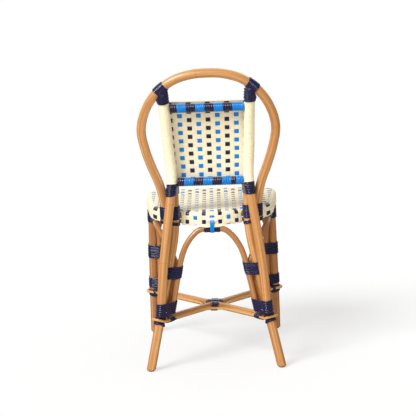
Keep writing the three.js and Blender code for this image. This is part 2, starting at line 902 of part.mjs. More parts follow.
// Block above or below the middle of the crossing, as wide as the other pole
function lapBlock(along, above) {
  const block = new THREE.BoxGeometry(4 * stretcherDiameter, loose(stretcherDiameter), stretcherDiameter);
  block.rotateZ(Math.atan2(along.y, along.x));
  const shift = (stretcherDiameter - fitGap) / 2;
  block.translate(crossing.x, crossing.y, crossing.z + (above ? shift : -shift));
  return block;
}

function addStretcherPoles() {
  const legs = [...rearLegs, ...frontLegs].map((leg) => pole(leg, loose(poleDiameter), legSteps));
  const first = new THREE.LineCurve3(rearLeft, frontRight);
  const second = new THREE.LineCurve3(rearRight, frontLeft);
  const overFirst = lapBlock(second.getTangent(0), true);
  const underSecond = lapBlock(first.getTangent(0), false);
  const firstPole = cutAway(pole(first, stretcherDiameter, 1), [...legs, overFirst]);
  const secondPole = cutAway(pole(second, stretcherDiameter, 1), [...legs, underSecond]);
  addPart("stretcher_pole_rear_left", firstPole, rattan);
  addPart("stretcher_pole_rear_right", secondPole, rattan);
}

// Cane between two legs: along one pole, round the corner by the crossing, and hooked round the next leg
function caneCurve(from, to) {
  const arm = (corner) => corner.at.clone().sub(crossing).setZ(0).normalize();
  const turned = (direction) => point(-direction.y, direction.x, 0);
  const start = arm(from);
  const end = arm(to);
  const startSide = turned(start);
  const endSide = turned(end).negate();
  const beside = (stretcherDiameter + caneDiameter) / 2 + fitGap;
  const roundLeg = (poleDiameter / 2 + caneDiameter / 2 + fitGap) / Math.cos(Math.PI / 12);
  const half = start.angleTo(end) / 2;
  const tangent = caneCornerRadius / Math.tan(half);
  const meet = crossing.clone().addScaledVector(startSide, beside);
  meet.addScaledVector(start, beside / Math.tan(half));
  const hub = meet.clone().addScaledVector(start, tangent).addScaledVector(startSide, caneCornerRadius);
  const bend = (share) => {
    const out = startSide.clone().lerp(endSide, share).normalize();
    return hub.clone().addScaledVector(out, -caneCornerRadius);
  };
  const beyond = (corner, along, forward, side, reach) => {
    return corner.at.clone().addScaledVector(along, forward).addScaledVector(side, reach);
  };
  const points = [
    beyond(from, start, -caneTail, startSide, beside),
    meet.clone().addScaledVector(start, tangent + caneCornerRadius),
    ...[0, 0.25, 0.5, 0.75, 1].map(bend),
    meet.clone().addScaledVector(end, tangent + caneCornerRadius),
    beyond(to, end, -caneTail, endSide, beside),
  ];
  const level = (at) => at.setZ(stretcherHeight + stretcherRise * at.y);
  points.forEach(level);
  for (let angle = -90; angle <= 90; angle += 30) {
    const forward = roundLeg * Math.cos(radians(angle));
    const aside = roundLeg * Math.sin(radians(angle));
    const at = level(beyond(to, end, forward, endSide, -aside));
    at.z += to.lift * Math.cos(radians(angle));
    points.push(at);
  }
  points.push(level(beyond(to, end, 2 * fitGap - caneTail, endSide, -beside)));
  return smoothCurve(points);
}

// Thin pole along a level curve, with more steps where the curve has more points
function levelPole(curve, diameter, steps, facets) {
  const points = [];
  const up = point(0, 0, 1);
  for (let step = 0; step <= steps; step += 1) {
    const at = curve.getPoint(step / steps);
    const along = curve.getTangent(step / steps);
    const side = up.clone().cross(along).normalize();
    const rise = along.cross(side);
    for (let corner = 0; corner < facets; corner += 1) {
      const angle = (2 * Math.PI * corner) / facets;
      const edge = at.clone().addScaledVector(side, (diameter / 2) * Math.cos(angle));
      points.push(edge.addScaledVector(rise, (diameter / 2) * Math.sin(angle)));
    }
  }
  const faces = skinFaces(steps + 1, facets, false);
  const end = steps * facets;
  for (let corner = 2; corner < facets; corner += 1) {
    faces.push([0, corner, corner - 1], [end, end + corner - 1, end + corner]);
  }
  return closedMesh(points, faces);
}

function addStretcherCanes() {
  const names = ["rear", "right", "front", "left"];
  names.forEach((name, index) => {
    const curve = caneCurve(corners[index], corners[(index + 1) % corners.length]);
    addPart(`stretcher_cane_${name}`, levelPole(curve, caneDiameter, caneSteps, caneFacets), paleCane);
  });
}

// Lashings and windings

function addBackLashings() {
  sides.forEach(({ name, sign }, index) => {
    const post = { curve: posts[index], diameter: poleDiameter };
    const leg = { curve: rearLegs[index], diameter: poleDiameter };
    const foot = { curve: hoopSides[index], diameter: poleDiameter };
    const topLow = topRailHeight + postTopLashingRise;
    const rising = { tilt: postTopLashingTilt, lifted: sign > 0 ? Math.PI : 0, growing: true };
    addLashing(`post_top_binding_${name}`, [post], topLow, postTopLashing, narrowLashingTurns, rising);
    const postLow = rearLegTopHeight + postLashingRise - postLashing;
    addLashing(`post_binding_${name}`, [post, leg], postLow, postLashing, narrowLashingTurns);
    const cornerLow = seatHeight + seatCornerLashingRise - seatCornerLashing;
    addLashing(`seat_corner_binding_${name}`, [foot, leg], cornerLow, seatCornerLashing, lashingTurns);
    const share = shareAtHeight(hoopSides[index], hoopTopHeight - hoopLashingDrop) / 2;
    const middle = sign > 0 ? share : 1 - share;
    const part = `hoop_binding_${name}`;
    addPoleWinding(part, hoop, poleDiameter, middle, hoopLashing, lashingTurns, poleFacets, navy);
  });
}

function addRearLashings() {
  sides.forEach(({ name, sign }, index) => {
    const leg = { curve: rearLegs[index], diameter: poleDiameter };
    const post = { curve: posts[index], diameter: poleDiameter };
    const [rearLimb, sideLimb] = [
      limbOf(rearArch, sign > 0 ? 0 : 1, sign > 0 ? limbShare : 1 - limbShare),
      limbOf(sideArches[index], 0, limbShare),
    ].map((curve) => ({ curve, diameter: archDiameter }));
    const legLow = rearArchFootHeight - rearLegLashingDrop;
    const legMembers = [leg, post, rearLimb, sideLimb];
    addLashing(`leg_binding_rear_${name}`, legMembers, legLow, rearLegLashing, wideLashingTurns);
    const archLow = archTieHeight - rearArchLashingDrop;
    const archMembers = [leg, rearLimb, sideLimb];
    addLashing(`arch_binding_rear_${name}`, archMembers, archLow, rearArchLashing, lashingTurns);
  });
}

function addFrontLashings() {
  sides.forEach(({ name, sign }, index) => {
    const leg = { curve: frontLegs[index], diameter: poleDiameter };
    const limbs = [
      limbOf(frontArch, sign > 0 ? 0 : 1, sign > 0 ? limbShare : 1 - limbShare),
      limbOf(sideArches[index], 1, 1 - limbShare),
    ].map((curve) => ({ curve, diameter: archDiameter }));
    const topLow = lipHeight - frontTopLashingDrop - frontTopLashing;
    addLashing(`leg_top_binding_front_${name}`, [leg], topLow, frontTopLashing, lashingTurns);
    const archLow = archTieHeight - frontArchLashingDrop;
    addLashing(`arch_binding_front_${name}`, [leg, ...limbs], archLow, frontArchLashing, lashingTurns);
    const footLow = frontArchFootHeight - frontFootLashingDrop;
    addLashing(`leg_binding_front_${name}`, [leg, ...limbs], footLow, frontFootLashing, lashingTurns);
  });
}

function addStretcherLashings() {
  const legs = [rearLegs[0], rearLegs[1], frontLegs[1], frontLegs[0]];
  corners.forEach(({ name, at }, index) => {
    const lifted = Math.atan2(at.y - crossing.y, at.x - crossing.x);
    const rear = at.y > crossing.y;
    const tilt = rear ? rearStretcherLashingTilt : frontStretcherLashingTilt;
    const low = stretcherHeight - (rear ? rearStretcherLashingDrop : frontStretcherLashingDrop);
    const members = [{ curve: legs[index], diameter: poleDiameter }];
    const bend = { tilt, lifted, growing: false };
    const part = `stretcher_binding_${name}`;
    addLashing(part, members, low, stretcherLashing, stretcherLashingTurns, bend);
  });
}

// Round the crossing, from side to side: over the poles, down between them, and back beneath
function addCentreLashing() {
  const facets = 8;
  const corner = stretcherDiameter / 8;
  const halfHeight = stretcherDiameter / 2 + fitGap - corner;
  const opening = rearLeft.clone().sub(crossing).setZ(0).normalize();
  const halfWidth = centreLashing / 2;
  const halfDepth = (stretcherDiameter / 2 + halfWidth * opening.y) / opening.x + fitGap - corner;
  const run = (halfWidth * narrowLashingTurns) / (narrowLashingTurns + 1);
  const place = (share, step, lift, along) => {
    const radius = (corner + lift) / Math.cos(Math.PI / facets);
    const direction = (2 * Math.PI * (step + 0.5)) / facets;
    const across = Math.cos(direction);
    const rise = Math.sin(direction);
    const y = Math.sign(across) * halfDepth + radius * across;
    const z = Math.sign(rise) * halfHeight + radius * rise;
    return point(mix(-run, run, share) + along, crossing.y + y, crossing.z + z);
  };
  const name = "stretcher_binding_centre";
  addPart(name, winding(name, { facets, place }, centreLashing, narrowLashingTurns), navy);
}

function addArchTopLashings() {
  const arches = { rear: rearArch, front: frontArch, left: sideArches[0], right: sideArches[1] };
  for (const [name, curve] of Object.entries(arches)) {
    const part = `arch_top_binding_${name}`;
    addPoleWinding(part, curve, archDiameter, 0.5, archTopLashing, lashingTurns, archFacets, navy);
  }
}

addHoop();
addPosts();
addRails();
addPostWindings();
addBackWeave();
addLegs();
addGlides();
addSeatFrame();
addSeatWeave();
addArches();
addStretcherPoles();
addStretcherCanes();
addBackLashings();
addRearLashings();
addFrontLashings();
addStretcherLashings();
addCentreLashing();
addArchTopLashings();

// The origin lies under the middle of the chair's own box
const box = new THREE.Box3().setFromObject(chair);
chair.position.set(-(box.min.x + box.max.x) / 2, -(box.min.y + box.max.y) / 2, -box.min.z);

const closest = selfGaps.reduce((least, entry) => (entry.gap < least.gap ? entry : least));
console.log(`Least gap of a winding to itself: ${closest.gap.toFixed(2)} mm, in ${closest.name}`);

export default chair;
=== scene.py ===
"""Rattan bistro chair, dressed for a picture: bent poles lashed together, a hooped back, woven seat and back.

Metres, +Z up. The sitter faces -Y, and left is +X. Every piece is placed by the sizes of the chair's frame.
"""

import math
import random

import bmesh
import bpy
import numpy as np
from mathutils import Matrix, Vector


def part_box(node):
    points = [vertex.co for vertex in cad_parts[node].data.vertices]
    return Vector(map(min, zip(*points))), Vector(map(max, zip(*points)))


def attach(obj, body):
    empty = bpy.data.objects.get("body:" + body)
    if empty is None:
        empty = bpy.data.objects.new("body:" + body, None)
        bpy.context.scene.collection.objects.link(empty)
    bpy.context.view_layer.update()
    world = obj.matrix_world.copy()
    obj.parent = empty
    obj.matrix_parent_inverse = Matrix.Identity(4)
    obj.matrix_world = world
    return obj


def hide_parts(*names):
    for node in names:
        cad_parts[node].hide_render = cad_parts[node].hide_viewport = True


bl_info = {
    "name": "Rattan Bistro Chair",
    "version": (1, 0, 0),
    "blender": (4, 5, 0),
    "location": "3D View > Sidebar > Chair",
    "description": "Builds a rattan bistro chair from bent poles, lashings and woven strands",
    "category": "Add Mesh",
}

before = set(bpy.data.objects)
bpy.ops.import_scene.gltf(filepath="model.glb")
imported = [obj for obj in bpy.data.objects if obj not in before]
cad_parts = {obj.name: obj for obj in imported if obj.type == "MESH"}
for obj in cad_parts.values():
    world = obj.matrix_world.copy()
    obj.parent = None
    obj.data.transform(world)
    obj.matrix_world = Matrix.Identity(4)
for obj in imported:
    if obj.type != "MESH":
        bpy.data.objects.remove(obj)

SIDES = (("left", 1), ("right", -1))

# The frame's origin lies under the middle of the chair, this far in front of the sizes' own
DEPTH_SHIFT = -0.0160519

# Diameters that the lines follow, and fits
FRAME_POLE = 0.027
ARCH_POLE = 0.017
FIT_GAP = 0.0003
POST_WRAP = 0.002
WOUND_POST = (FRAME_POLE + 2 * (FIT_GAP + POST_WRAP)) / math.cos(math.pi / 8) + 2 * FIT_GAP
# How far the middle of a strand lies off a pole that is wound or that it passes in a bow
OVER_WRAP = 0.0032

# Hooped back
HOOP_TOP = 0.878
HOOP_FOOT = 0.428
HOOP_HALF_WIDTH = 0.1935
HOOP_FOOT_DEPTH = 0.140
HOOP_TOP_DEPTH = 0.246
POST_TOP = 0.836
POST_WAIST = 0.580
POST_FOOT = 0.168
POST_HALF_SPAN = 0.121
POST_WAIST_DEPTH = 0.178
POST_FOOT_DEPTH = 0.229
TOP_RAIL = 0.776
BOTTOM_RAIL = 0.555
PANEL_TOP = 0.7935
PANEL_BOTTOM = 0.543
PANEL_OVERLAP = 0.009
PANEL_THICKNESS = 0.0045
LEAN_ASIDE = 0.0036
POST_SHORTENING = 0.0065

# Legs
REAR_LEG_TOP = 0.538
REAR_FOOT_HALF_SPAN = 0.1935
REAR_SEAT_HALF_SPAN = 0.108
REAR_FOOT_DEPTH = 0.2246
REAR_LEG_LEAN = 0.135
FRONT_FOOT_HALF_SPAN = 0.1944
FRONT_SEAT_HALF_SPAN = 0.1846
FRONT_FOOT_DEPTH = -0.215
FRONT_LEG_LEAN = 0.145
FOOT_CUT = 0.0043
FOOT_RUN_ON = 0.027

# Seat
SEAT_TOP = 0.465
APRON_BOTTOM = 0.422
RING_HEIGHT = 0.4504
RIM_HEIGHT = 0.4319
RIM_OFFSET = 0.005
RIM_ROOM = 0.001
SEAT_REAR_RADIUS = 0.1735
SEAT_CENTRE_DEPTH = -0.010
SEAT_FRONT_DEPTH = -0.200
SEAT_FRONT_HALF_WIDTH = 0.188
SEAT_CORNER_RADIUS = 0.052
SEAT_FRONT_BOW = 0.008
SEAT_DISH = 0.007
BRACE_DEPTH = -0.040
BRACE_HEIGHT = 0.4464
NOTCH_ANGLES = (38.5, 61.5)

# Stretcher and arches
STRETCHER_HEIGHT = 0.1445
STRETCHER_RISE = 0.015
CANE_CORNER_RADIUS = 0.055
CANE_TAIL = 0.036
CANE_LEG_ROOM = 0.0024
REAR_LOOP_RISE = 0.007
ARCH_TOP = 0.409
REAR_ARCH_TOP = ARCH_TOP + 0.003
ARCH_TIE = 0.311
REAR_ARCH_TIE_HALF_SPAN = 0.097
REAR_ARCH_TOP_DEPTH = 0.171
REAR_ARCH_FOOT = 0.168
FRONT_ARCH_TOP_DEPTH = -0.197
FRONT_ARCH_FOOT = 0.155
SIDE_ARCH_BOW = 0.036

# Hoop: share of the half width, share of the rise
HOOP_SHARES = (
    (0.7015, 0), (0.7015, 0.07), (0.706, 0.138), (0.772, 0.271), (0.866, 0.382), (0.953, 0.504),
    (1, 0.638), (0.92, 0.771), (0.749, 0.88), (0.501, 0.958), (0.238, 0.993),
)
# Rear leg: share of the height, share of the spread
REAR_LEG_SHARES = ((0, 1), (0.249, 0.662), (0.595, 0.21), (0.725, 0.053), (0.818, 0), (1, 0))
# Front leg: share of the height, share of the way in
FRONT_LEG_SHARES = ((0, 0), (0.3, 0.2), (0.6, 0.5), (0.85, 0.82), (1, 1))
# Rear post below and above its waist: share of the rise, of the half span, of the depth
LOWER_POST_SHARES = (
    (0, 1.293, 1), (0.12, 1.264, 0.867), (0.244, 1.231, 0.725), (0.385, 1.182, 0.62),
    (0.596, 1.083, 0.46), (0.816, 0.979, 0.19), (0.92, 0.93, 0.03),
)
UPPER_POST_SHARES = ((0, 0.922, 0), (0.28, 0.964, 0.156), (0.68, 1, 0.617), (0.86, 1.025, 0.832), (1, 1.068, 1))
# Arches above their ties
REAR_ARCH_SHARES = ((0.46, 0.84), (0.8, 0.6), (0.97, 0.37))
FRONT_ARCH_SHARES = ((0.42, 0.97), (0.77, 0.84), (0.96, 0.62))
SIDE_ARCH_SHARES = (
    (0.088, 0.38, 0.36), (0.209, 0.7, 0.72), (0.36, 0.93, 1), (0.511, 1, 0.92),
    (0.663, 0.98, 0.74), (0.844, 0.76, 0.4), (0.95, 0.38, 0.12),
)
LIMB_SHARES = (0, 0.4, 0.7, 0.88, 1)
LIMB_ANGLES = {"side_rear": 220, "side_front": 155, "front": 230}

# Weaves: strands in groups of four, blue, cream, navy, cream. A share is one of the panel's half width
BACK_GROUP = 0.01275
BACK_BLUE_ROW = 0.7504
BACK_STRAND_SHARE = 0.02734
BACK_NAVY_SHARE = 0.012
BACK_COLUMNS = (-0.948, 0.985)
BACK_COLUMN_ENDS = (PANEL_BOTTOM + 0.002, PANEL_TOP - 0.0015)
BACK_ROWS = (PANEL_BOTTOM + 0.004, PANEL_TOP - 0.003)
# By how much the lengthways strands close up and lie aside, at the panel's bottom and top
COLUMN_CLOSING = (0.012, 0.045)
COLUMN_SHIFT = (0.018, 0.029)
PANEL_BORDER_HEIGHTS = (PANEL_BOTTOM + 0.0012, PANEL_TOP - 0.0012)
BACK_STRAND_WIDTH = 0.0035
BACK_ROW_WIDTH = 0.00317
PANEL_BORDER = 0.0034
# The seat's rows lie closer down the apron than over the top
SEAT_GROUP = 0.0125
SEAT_TOP_GROUP = 0.0165
SEAT_COLUMNS = (-0.186, 0.186)
SHORTEST_COLUMN = 0.02
SEAT_COLUMN = 0.0112
SEAT_BLUE_PLACE = -0.0010
SEAT_BLUE_DROP = 0.02475
SKIN_RADIUS = 0.01295
# How far a strand lies out where it goes over, and in where it is tucked
WEAVE_LIFT = 0.0009
SEAT_LIFT = 0.0012
WOVEN_FILL = 0.99
TOP_ROW_FILL = 0.92
TINTED_SINK = 0.0006
TAIL_SINK = 0.0006
TAIL_DROPS = (0.003, 0.006, 0.009)
# Apron: the way over the skin from the ring's top to its edge, where its strands start and end, and their tucks
SKIN_WAY = SKIN_RADIUS * math.pi / 2 + RING_HEIGHT - APRON_BOTTOM
APRON_START = 0.0035
APRON_SHORTENING = 0.0035
APRON_CLOSED_DROP = 0.0115
APRON_TUCK_HEIGHT = APRON_BOTTOM + 0.0014
APRON_TUCKS = ((0.0008, 0.0022), (0.003, 0.0), (0.007, 0.0), (0.012, 0.0))
LEG_KEEP_OUT = 0.0158
HANGING_HALF_WIDTH = 0.0405
HANGING_STRAND_WIDTH = 0.0031
HANGING_PITCH = 0.0030
# Tie to the rear arch: width and pitch of its strands, places down the apron's edge, and heights of the ends
TIE_STRAND_WIDTH = 0.0029
TIE_PITCH = 0.00295
TIE_DOWN = ((0.0012, 0.441), (0.0060, 0.431), (0.0074, 0.424))
TIE_ENDS = (0.416, 0.424)
# Bare plate on the rear of the seat
PLATE_SIZE = (0.037, 0.0008, 0.0116)
PLATE_CORNER = 0.005
PLATE_EDGE = 0.00018
PLATE_STRIP = 0.0022
PLATE_PLACE = 0.0012
PLATE_HEIGHT = 0.4405
PLATE_CLEARANCE = 0.0016

# Strands: share of its pitch that one fills, how deep and how fast an end is tucked, and the spacing of points
STRAND_FILL = 0.97
TUCK_DEPTH = 0.0012
BAND_TUCK_DEPTH = 0.001
TUCKS_PER_TURN = 6
BAND_OVERLAP = 0.02
STRAND_STEP = 0.0028
APRON_STEP = 0.0029
TOP_STEP = 0.0033
TIE_STEP = 0.002
# How full a strand's section is towards its corners, from flat to round
FLATTER, FLAT, ROUNDED, ROUND = 0.35, 0.4, 1.0, 1.2

# Poles: spacing of points, chamfer at an end, and the ring that a leaf left
POLE_STEP = 0.003
RING_STEP = 0.004
POLE_CHAMFER = 0.0009
CHAMFER_SHARE = 0.93
FOOT_EASING = 0.0012
SWELLING_PITCHES = (0.31, 0.17, 0.09)
LEAF_RING_HEIGHT = 0.00018
LEAF_RING_REACH = 0.0035
LEAF_RING_STAIN = 0.0013

# Lashings: their sway by hand, their room on the poles, and those beside the wound strands
SWAYS = (0.00022, 0.00018)
LASHING_ROOM = 0.0002
FAN_ROOM = 0.0014
FAN_TILT = 0.016
BAND_TILT = 0.003
# The height at which each starts, and how far it runs up
POST_TOP_LASHING = (TOP_RAIL + 0.0172, 0.0433)
POST_TOP_FAN = (TOP_RAIL + 0.0155, 0.031)
POST_LASHING = (REAR_LEG_TOP - 0.0235, 0.031)
SEAT_CORNER_LASHING = (SEAT_TOP - 0.025, 0.044)
SEAT_CORNER_BAND = (0.4245, 0.0148)
REAR_LEG_LASHING = (REAR_ARCH_FOOT - 0.002, 0.043)
FRONT_LEG_LASHING = (FRONT_ARCH_FOOT - 0.001, 0.037)
FRONT_LEG_TOP_LASHING = (APRON_BOTTOM - 0.050, 0.047)
REAR_ARCH_LASHINGS = {"left": (ARCH_TIE - 0.043, 0.041), "right": (ARCH_TIE - 0.036, 0.041)}
FRONT_ARCH_LASHINGS = {"left": (ARCH_TIE - 0.058, 0.048), "right": (ARCH_TIE - 0.058, 0.043)}
ARCH_CROWN_SPAN = 0.053
# Single turns over a leg's top: how far each is drawn from the leg to the post, its start, its rise and its span
SHOULDER_SHARES = (0.3, 0.62)
SHOULDER_START = REAR_LEG_TOP + 0.0045
SHOULDER_STEP = 0.0038
SHOULDER_SPAN = 0.0054
# Strand beside the hoop's foot: its ends, its place and its direction, on the left
CORNER_STRAND_HEIGHTS = (0.428, 0.462)
CORNER_STRAND_PLACE = (-0.0158, 0.0035, 0)
CORNER_STRAND_FACING = (-0.6, 0.8, 0)
# What a turn square to the leaning posts drops from their middle to their rear
TURN_LEAN = 0.0036
# On the hoop: the drop below its top, the way on from there, and the span
HOOP_LASHINGS = {"left": (0.044, 0.002, 0.038), "right": (0.044, 0.007, 0.040)}
# Stretcher on a leg: where its lashing starts and how high the collar goes, and how much the lashing is tilted
STRETCHER_LASHINGS = {
    "rear": (STRETCHER_HEIGHT - 0.0125, REAR_ARCH_FOOT, 0.008),
    "front": (STRETCHER_HEIGHT - 0.018, FRONT_ARCH_FOOT, 0.0035),
}
STRETCHER_LASHING_SPAN = 0.0112
COLLAR_RISE = 0.005
COLLAR_SHORTENING = 0.007
# Stretcher's pole ends: turns, and their start and end from the leg's middle
POLE_END_LASHINGS = {"rear": (5, 0.024, 0.047), "front": (3, 0.020, 0.033)}
# Crossing: the axis that each band runs along, its half width, and how far it lies over the other
CROSSING_BANDS = ((1, 0.012, 0.0), (0, 0.011, 0.0019))
# Windings of the posts and the rails
POST_WINDING_HEIGHTS = (PANEL_BOTTOM + 0.003, TOP_RAIL + 0.0215)
RAIL_WINDING_RUN_ON = 0.0095

# Studio: how much of the floor's light a shadow can take, the glow that none takes, colours, sizes and lamps
SHADED_SHARE = 0.425
FLOOR_GLOW = 0.55
WHITE = (1.0, 1.0, 1.0, 1)
BLACK = (0.0, 0.0, 0.0, 1)
STUDIO_GREY = (0.9, 0.9, 0.93, 1)
WARM_AIR = (1.0, 0.89, 0.72, 1)
FLOOR_SIZE = 120
BACKDROP_SIZE = 60
BACKDROP_PLACE = (0, -24, 29.9)
LAMP_PLACES = {"key": (0.70, 0.74, 0.90), "front": (0.2, 1.0, 0.3)}
LAMP_DISTANCE = 2.5

# Camera: where it stands, which way it looks, how it is rolled, and its lens on a 36 mm sensor
CAMERA_PLACE = (-0.02151, 4.75831, 1.36421)
CAMERA_LOOK = (0.0065616, -0.98178159, -0.1898996)
CAMERA_ROLL = -1.99
CAMERA_LENS = 138.64


def linear(code):
    """Linear red, green, blue and alpha of a colour written as six hexadecimal digits."""
    channels = [int(code[place:place + 2], 16) / 255 for place in (0, 2, 4)]
    return (*[c / 12.92 if c <= 0.04045 else ((c + 0.055) / 1.055) ** 2.4 for c in channels], 1.0)


# ---------------------------------------------------------------- sizes and colours that a user changes


def length(name, description, default):
    return bpy.props.FloatProperty(
        name=name, description=description, default=default, min=0.0002, unit="LENGTH", subtype="DISTANCE", precision=4
    )


def colour(name, description, code):
    return bpy.props.FloatVectorProperty(
        name=name, description=description, default=linear(code), size=4, min=0, max=1, subtype="COLOR"
    )


def power(name, description, default):
    return bpy.props.FloatProperty(name=name, description=description, default=default, min=0)


def spread(name, description, degrees):
    default = math.radians(degrees)
    return bpy.props.FloatProperty(name=name, description=description, default=default, subtype="ANGLE")


class ChairPoles(bpy.types.PropertyGroup):
    frame_pole: length("Frame pole", "Diameter of the hoop, the posts and the legs", FRAME_POLE)
    arch_pole: length("Arch pole", "Diameter of the arches under the seat", ARCH_POLE)
    stretcher_pole: length("Stretcher pole", "Diameter of the crossed poles between the legs", 0.022)
    stretcher_cane: length("Stretcher cane", "Diameter of the thin canes beside the stretcher", 0.008)
    rail_pole: length("Rail pole", "Diameter of the rails of the back", 0.021)
    ring_pole: length("Seat ring", "Diameter of the ring under the edge of the seat", 0.022)
    rim_pole: length("Seat rim", "Diameter of the rim under the ring", 0.012)
    brace_pole: length("Seat brace", "Diameter of the pole across the seat", 0.015)
    growth: length("Growth", "How much a grown pole swells and thins along its length", 0.0002)


class ChairStrands(bpy.types.PropertyGroup):
    lashing_width: length("Lashing width", "Width of the flat strand of the lashings", 0.0054)
    lashing_thickness: length("Lashing thickness", "Thickness of the strand of the lashings", 0.0021)
    post_strand_width: length("Post strand width", "Width of the cream strand wound on the posts", 0.0059)
    post_strand_thickness: length("Post strand thickness", "Thickness of the cream strand on the posts", 0.0022)
    rail_strand_width: length("Rail strand width", "Width of the strands wound on the rails", 0.0066)
    weave_thickness: length("Weave strand thickness", "Thickness of a woven strand", 0.0012)


class ChairColours(bpy.types.PropertyGroup):
    rattan_pale: colour("Rattan, pale", "Pale streaks of the varnished poles", "E6B980")
    rattan_main: colour("Rattan, main", "Main colour of the varnished poles", "C58B53")
    rattan_dark: colour("Rattan, dark", "Dark streaks and rings of the varnished poles", "784620")
    # Partly the poles' own browner tone, partly painted shade: the front legs and the arches, which stand in shade, get
    # this darker rattan.
    rattan_brown_and_shade: colour("Rattan, brown", "Colour of the browner poles of the front", "B07645")
    cane_pale: colour("Cane", "Colour of the thin stretcher canes", "DBA968")
    cream: colour("Cream strand", "Colour of the cream strands", "FCF6E0")
    # Painted shade: the cream strands' edges are darkened to this colour, which also tints their random patches.
    cream_painted_edge_shade: colour("Cream strand, edge", "Colour of the edges of the cream strands", "F6E8BC")
    navy: colour("Navy strand", "Colour of the navy strands", "23254D")
    blue: colour("Blue strand", "Colour of the blue strands", "0289EA")
    glide: colour("Glide", "Colour of the feet's glides", "8B8A84")
    plate: colour("Plate", "Colour of the bare plate on the rear of the seat", "F6F6F8")
    floor: colour("Floor", "Colour of the floor", "F6FAFF")


class ChairStudio(bpy.types.PropertyGroup):
    key_strength: power("Key lamp", "Strength of the large lamp", 2.6)
    key_softness: spread("Key softness", "Angle over which the large lamp is spread", 27)
    front_strength: power("Front lamp", "Strength of the wide lamp behind the camera", 0.6)
    front_softness: spread("Front softness", "Angle over which the wide lamp is spread", 70)
    fill_strength: power("Fill", "Strength of the light all round", 0.59)


# ---------------------------------------------------------------- lines and their places


def at(x, y, z):
    return np.array((x, y, z), float)


def mix(start, end, share):
    return start + (end - start) * share


def bent_line(points, parts=24):
    """Dense line through the points, bent as a steamed pole bends (a centripetal curve)."""
    points = [np.asarray(p, float) for p in points]
    run = [2 * points[0] - points[1], *points, 2 * points[-1] - points[-2]]
    dense = []
    for a, b, c, d in zip(run, run[1:], run[2:], run[3:]):
        before, between, after = (math.sqrt(np.linalg.norm(q - p)) for p, q in ((a, b), (b, c), (c, d)))
        leave = between * ((b - a) / before - (c - a) / (before + between) + (c - b) / between)
        arrive = between * ((c - b) / between - (d - b) / (between + after) + (d - c) / after)
        t = np.arange(parts)[:, None] / parts
        dense.append(b + leave * t + (3 * (c - b) - 2 * leave - arrive) * t**2 + (2 * (b - c) + leave + arrive) * t**3)
    return np.vstack([*dense, points[-1]])


def travel(line):
    """Distance along a line at each of its points."""
    return np.concatenate([[0], np.cumsum(np.linalg.norm(np.diff(line, axis=0), axis=1))])


def along(line, distances):
    """Points of a line at distances from its start."""
    run = travel(line)
    return np.stack([np.interp(distances, run, line[:, axis]) for axis in range(3)], axis=-1)


def spaced(line, step):
    total = travel(line)[-1]
    return along(line, np.linspace(0, total, max(2, round(total / step)) + 1))


def headings(line, closed=False):
    """Unit direction of a line at each of its points."""
    if closed:
        turned = np.roll(line, -1, axis=0) - np.roll(line, 1, axis=0)
    else:
        turned = np.gradient(line, axis=0)
    return turned / np.linalg.norm(turned, axis=1)[:, None]


def shortened(line, inset, count):
    """Evenly spaced points of a line without its two ends."""
    return along(line, np.linspace(inset, travel(line)[-1] - inset, count))


def at_height(line, height):
    """Points where a line that rises all the way meets the heights."""
    order = np.argsort(line[:, 2])
    return np.stack([np.interp(height, line[order, 2], line[order, axis]) for axis in range(3)], axis=-1)


def hoop_side(sign):
    return [
        at(sign * across * HOOP_HALF_WIDTH, mix(HOOP_FOOT_DEPTH, HOOP_TOP_DEPTH, rise), mix(HOOP_FOOT, HOOP_TOP, rise))
        for across, rise in (*HOOP_SHARES, (0, 1))
    ]


def hoop_line():
    return bent_line([*hoop_side(1), *hoop_side(-1)[-2::-1]])


def carried_past(points):
    """The foot runs on past the floor, to be trimmed there."""
    slope = points[0] - points[1]
    return [points[0] + slope * FOOT_RUN_ON / abs(slope[2]), *points]


def rear_leg_line(sign):
    points = []
    for rise, spread in REAR_LEG_SHARES:
        height = rise * REAR_LEG_TOP
        across = mix(REAR_SEAT_HALF_SPAN, REAR_FOOT_HALF_SPAN, spread)
        points.append(at(sign * across, REAR_FOOT_DEPTH - REAR_LEG_LEAN * height, height))
    return bent_line(carried_past(points))


def front_leg_line(sign):
    points = []
    for rise, inward in FRONT_LEG_SHARES:
        height = rise * RING_HEIGHT
        across = mix(FRONT_FOOT_HALF_SPAN, FRONT_SEAT_HALF_SPAN, inward)
        points.append(at(sign * across, FRONT_FOOT_DEPTH + FRONT_LEG_LEAN * height, height))
    return bent_line(carried_past(points))


def lean_aside(height):
    """How far the back stands to the left of upright above the posts' waist."""
    return LEAN_ASIDE * min(1, max(0, (height - POST_WAIST) / (POST_TOP - POST_WAIST)))


def post_line(sign):
    top_depth = mix(HOOP_FOOT_DEPTH, HOOP_TOP_DEPTH, (POST_TOP - HOOP_FOOT) / (HOOP_TOP - HOOP_FOOT))
    parts = (
        (LOWER_POST_SHARES, POST_FOOT, POST_WAIST, POST_FOOT_DEPTH),
        (UPPER_POST_SHARES, POST_WAIST, POST_TOP, top_depth),
    )
    points = [
        at(sign * across * POST_HALF_SPAN, mix(POST_WAIST_DEPTH, far_depth, depth), mix(low, high, rise))
        for shares, low, high, far_depth in parts
        for rise, across, depth in shares
    ]
    return bent_line([point + at(lean_aside(point[2]), 0, 0) for point in points])


HOOP = hoop_line()
HOOP_SIDES = {name: bent_line(hoop_side(sign)) for name, sign in SIDES}
POSTS = {name: post_line(sign) for name, sign in SIDES}
REAR_LEGS = {name: rear_leg_line(sign) for name, sign in SIDES}
FRONT_LEGS = {name: front_leg_line(sign) for name, sign in SIDES}

# How much longer a level cut across a leaning pole is than the pole is thick
SLANT = math.hypot(1, (HOOP_TOP_DEPTH - HOOP_FOOT_DEPTH) / (HOOP_TOP - HOOP_FOOT))


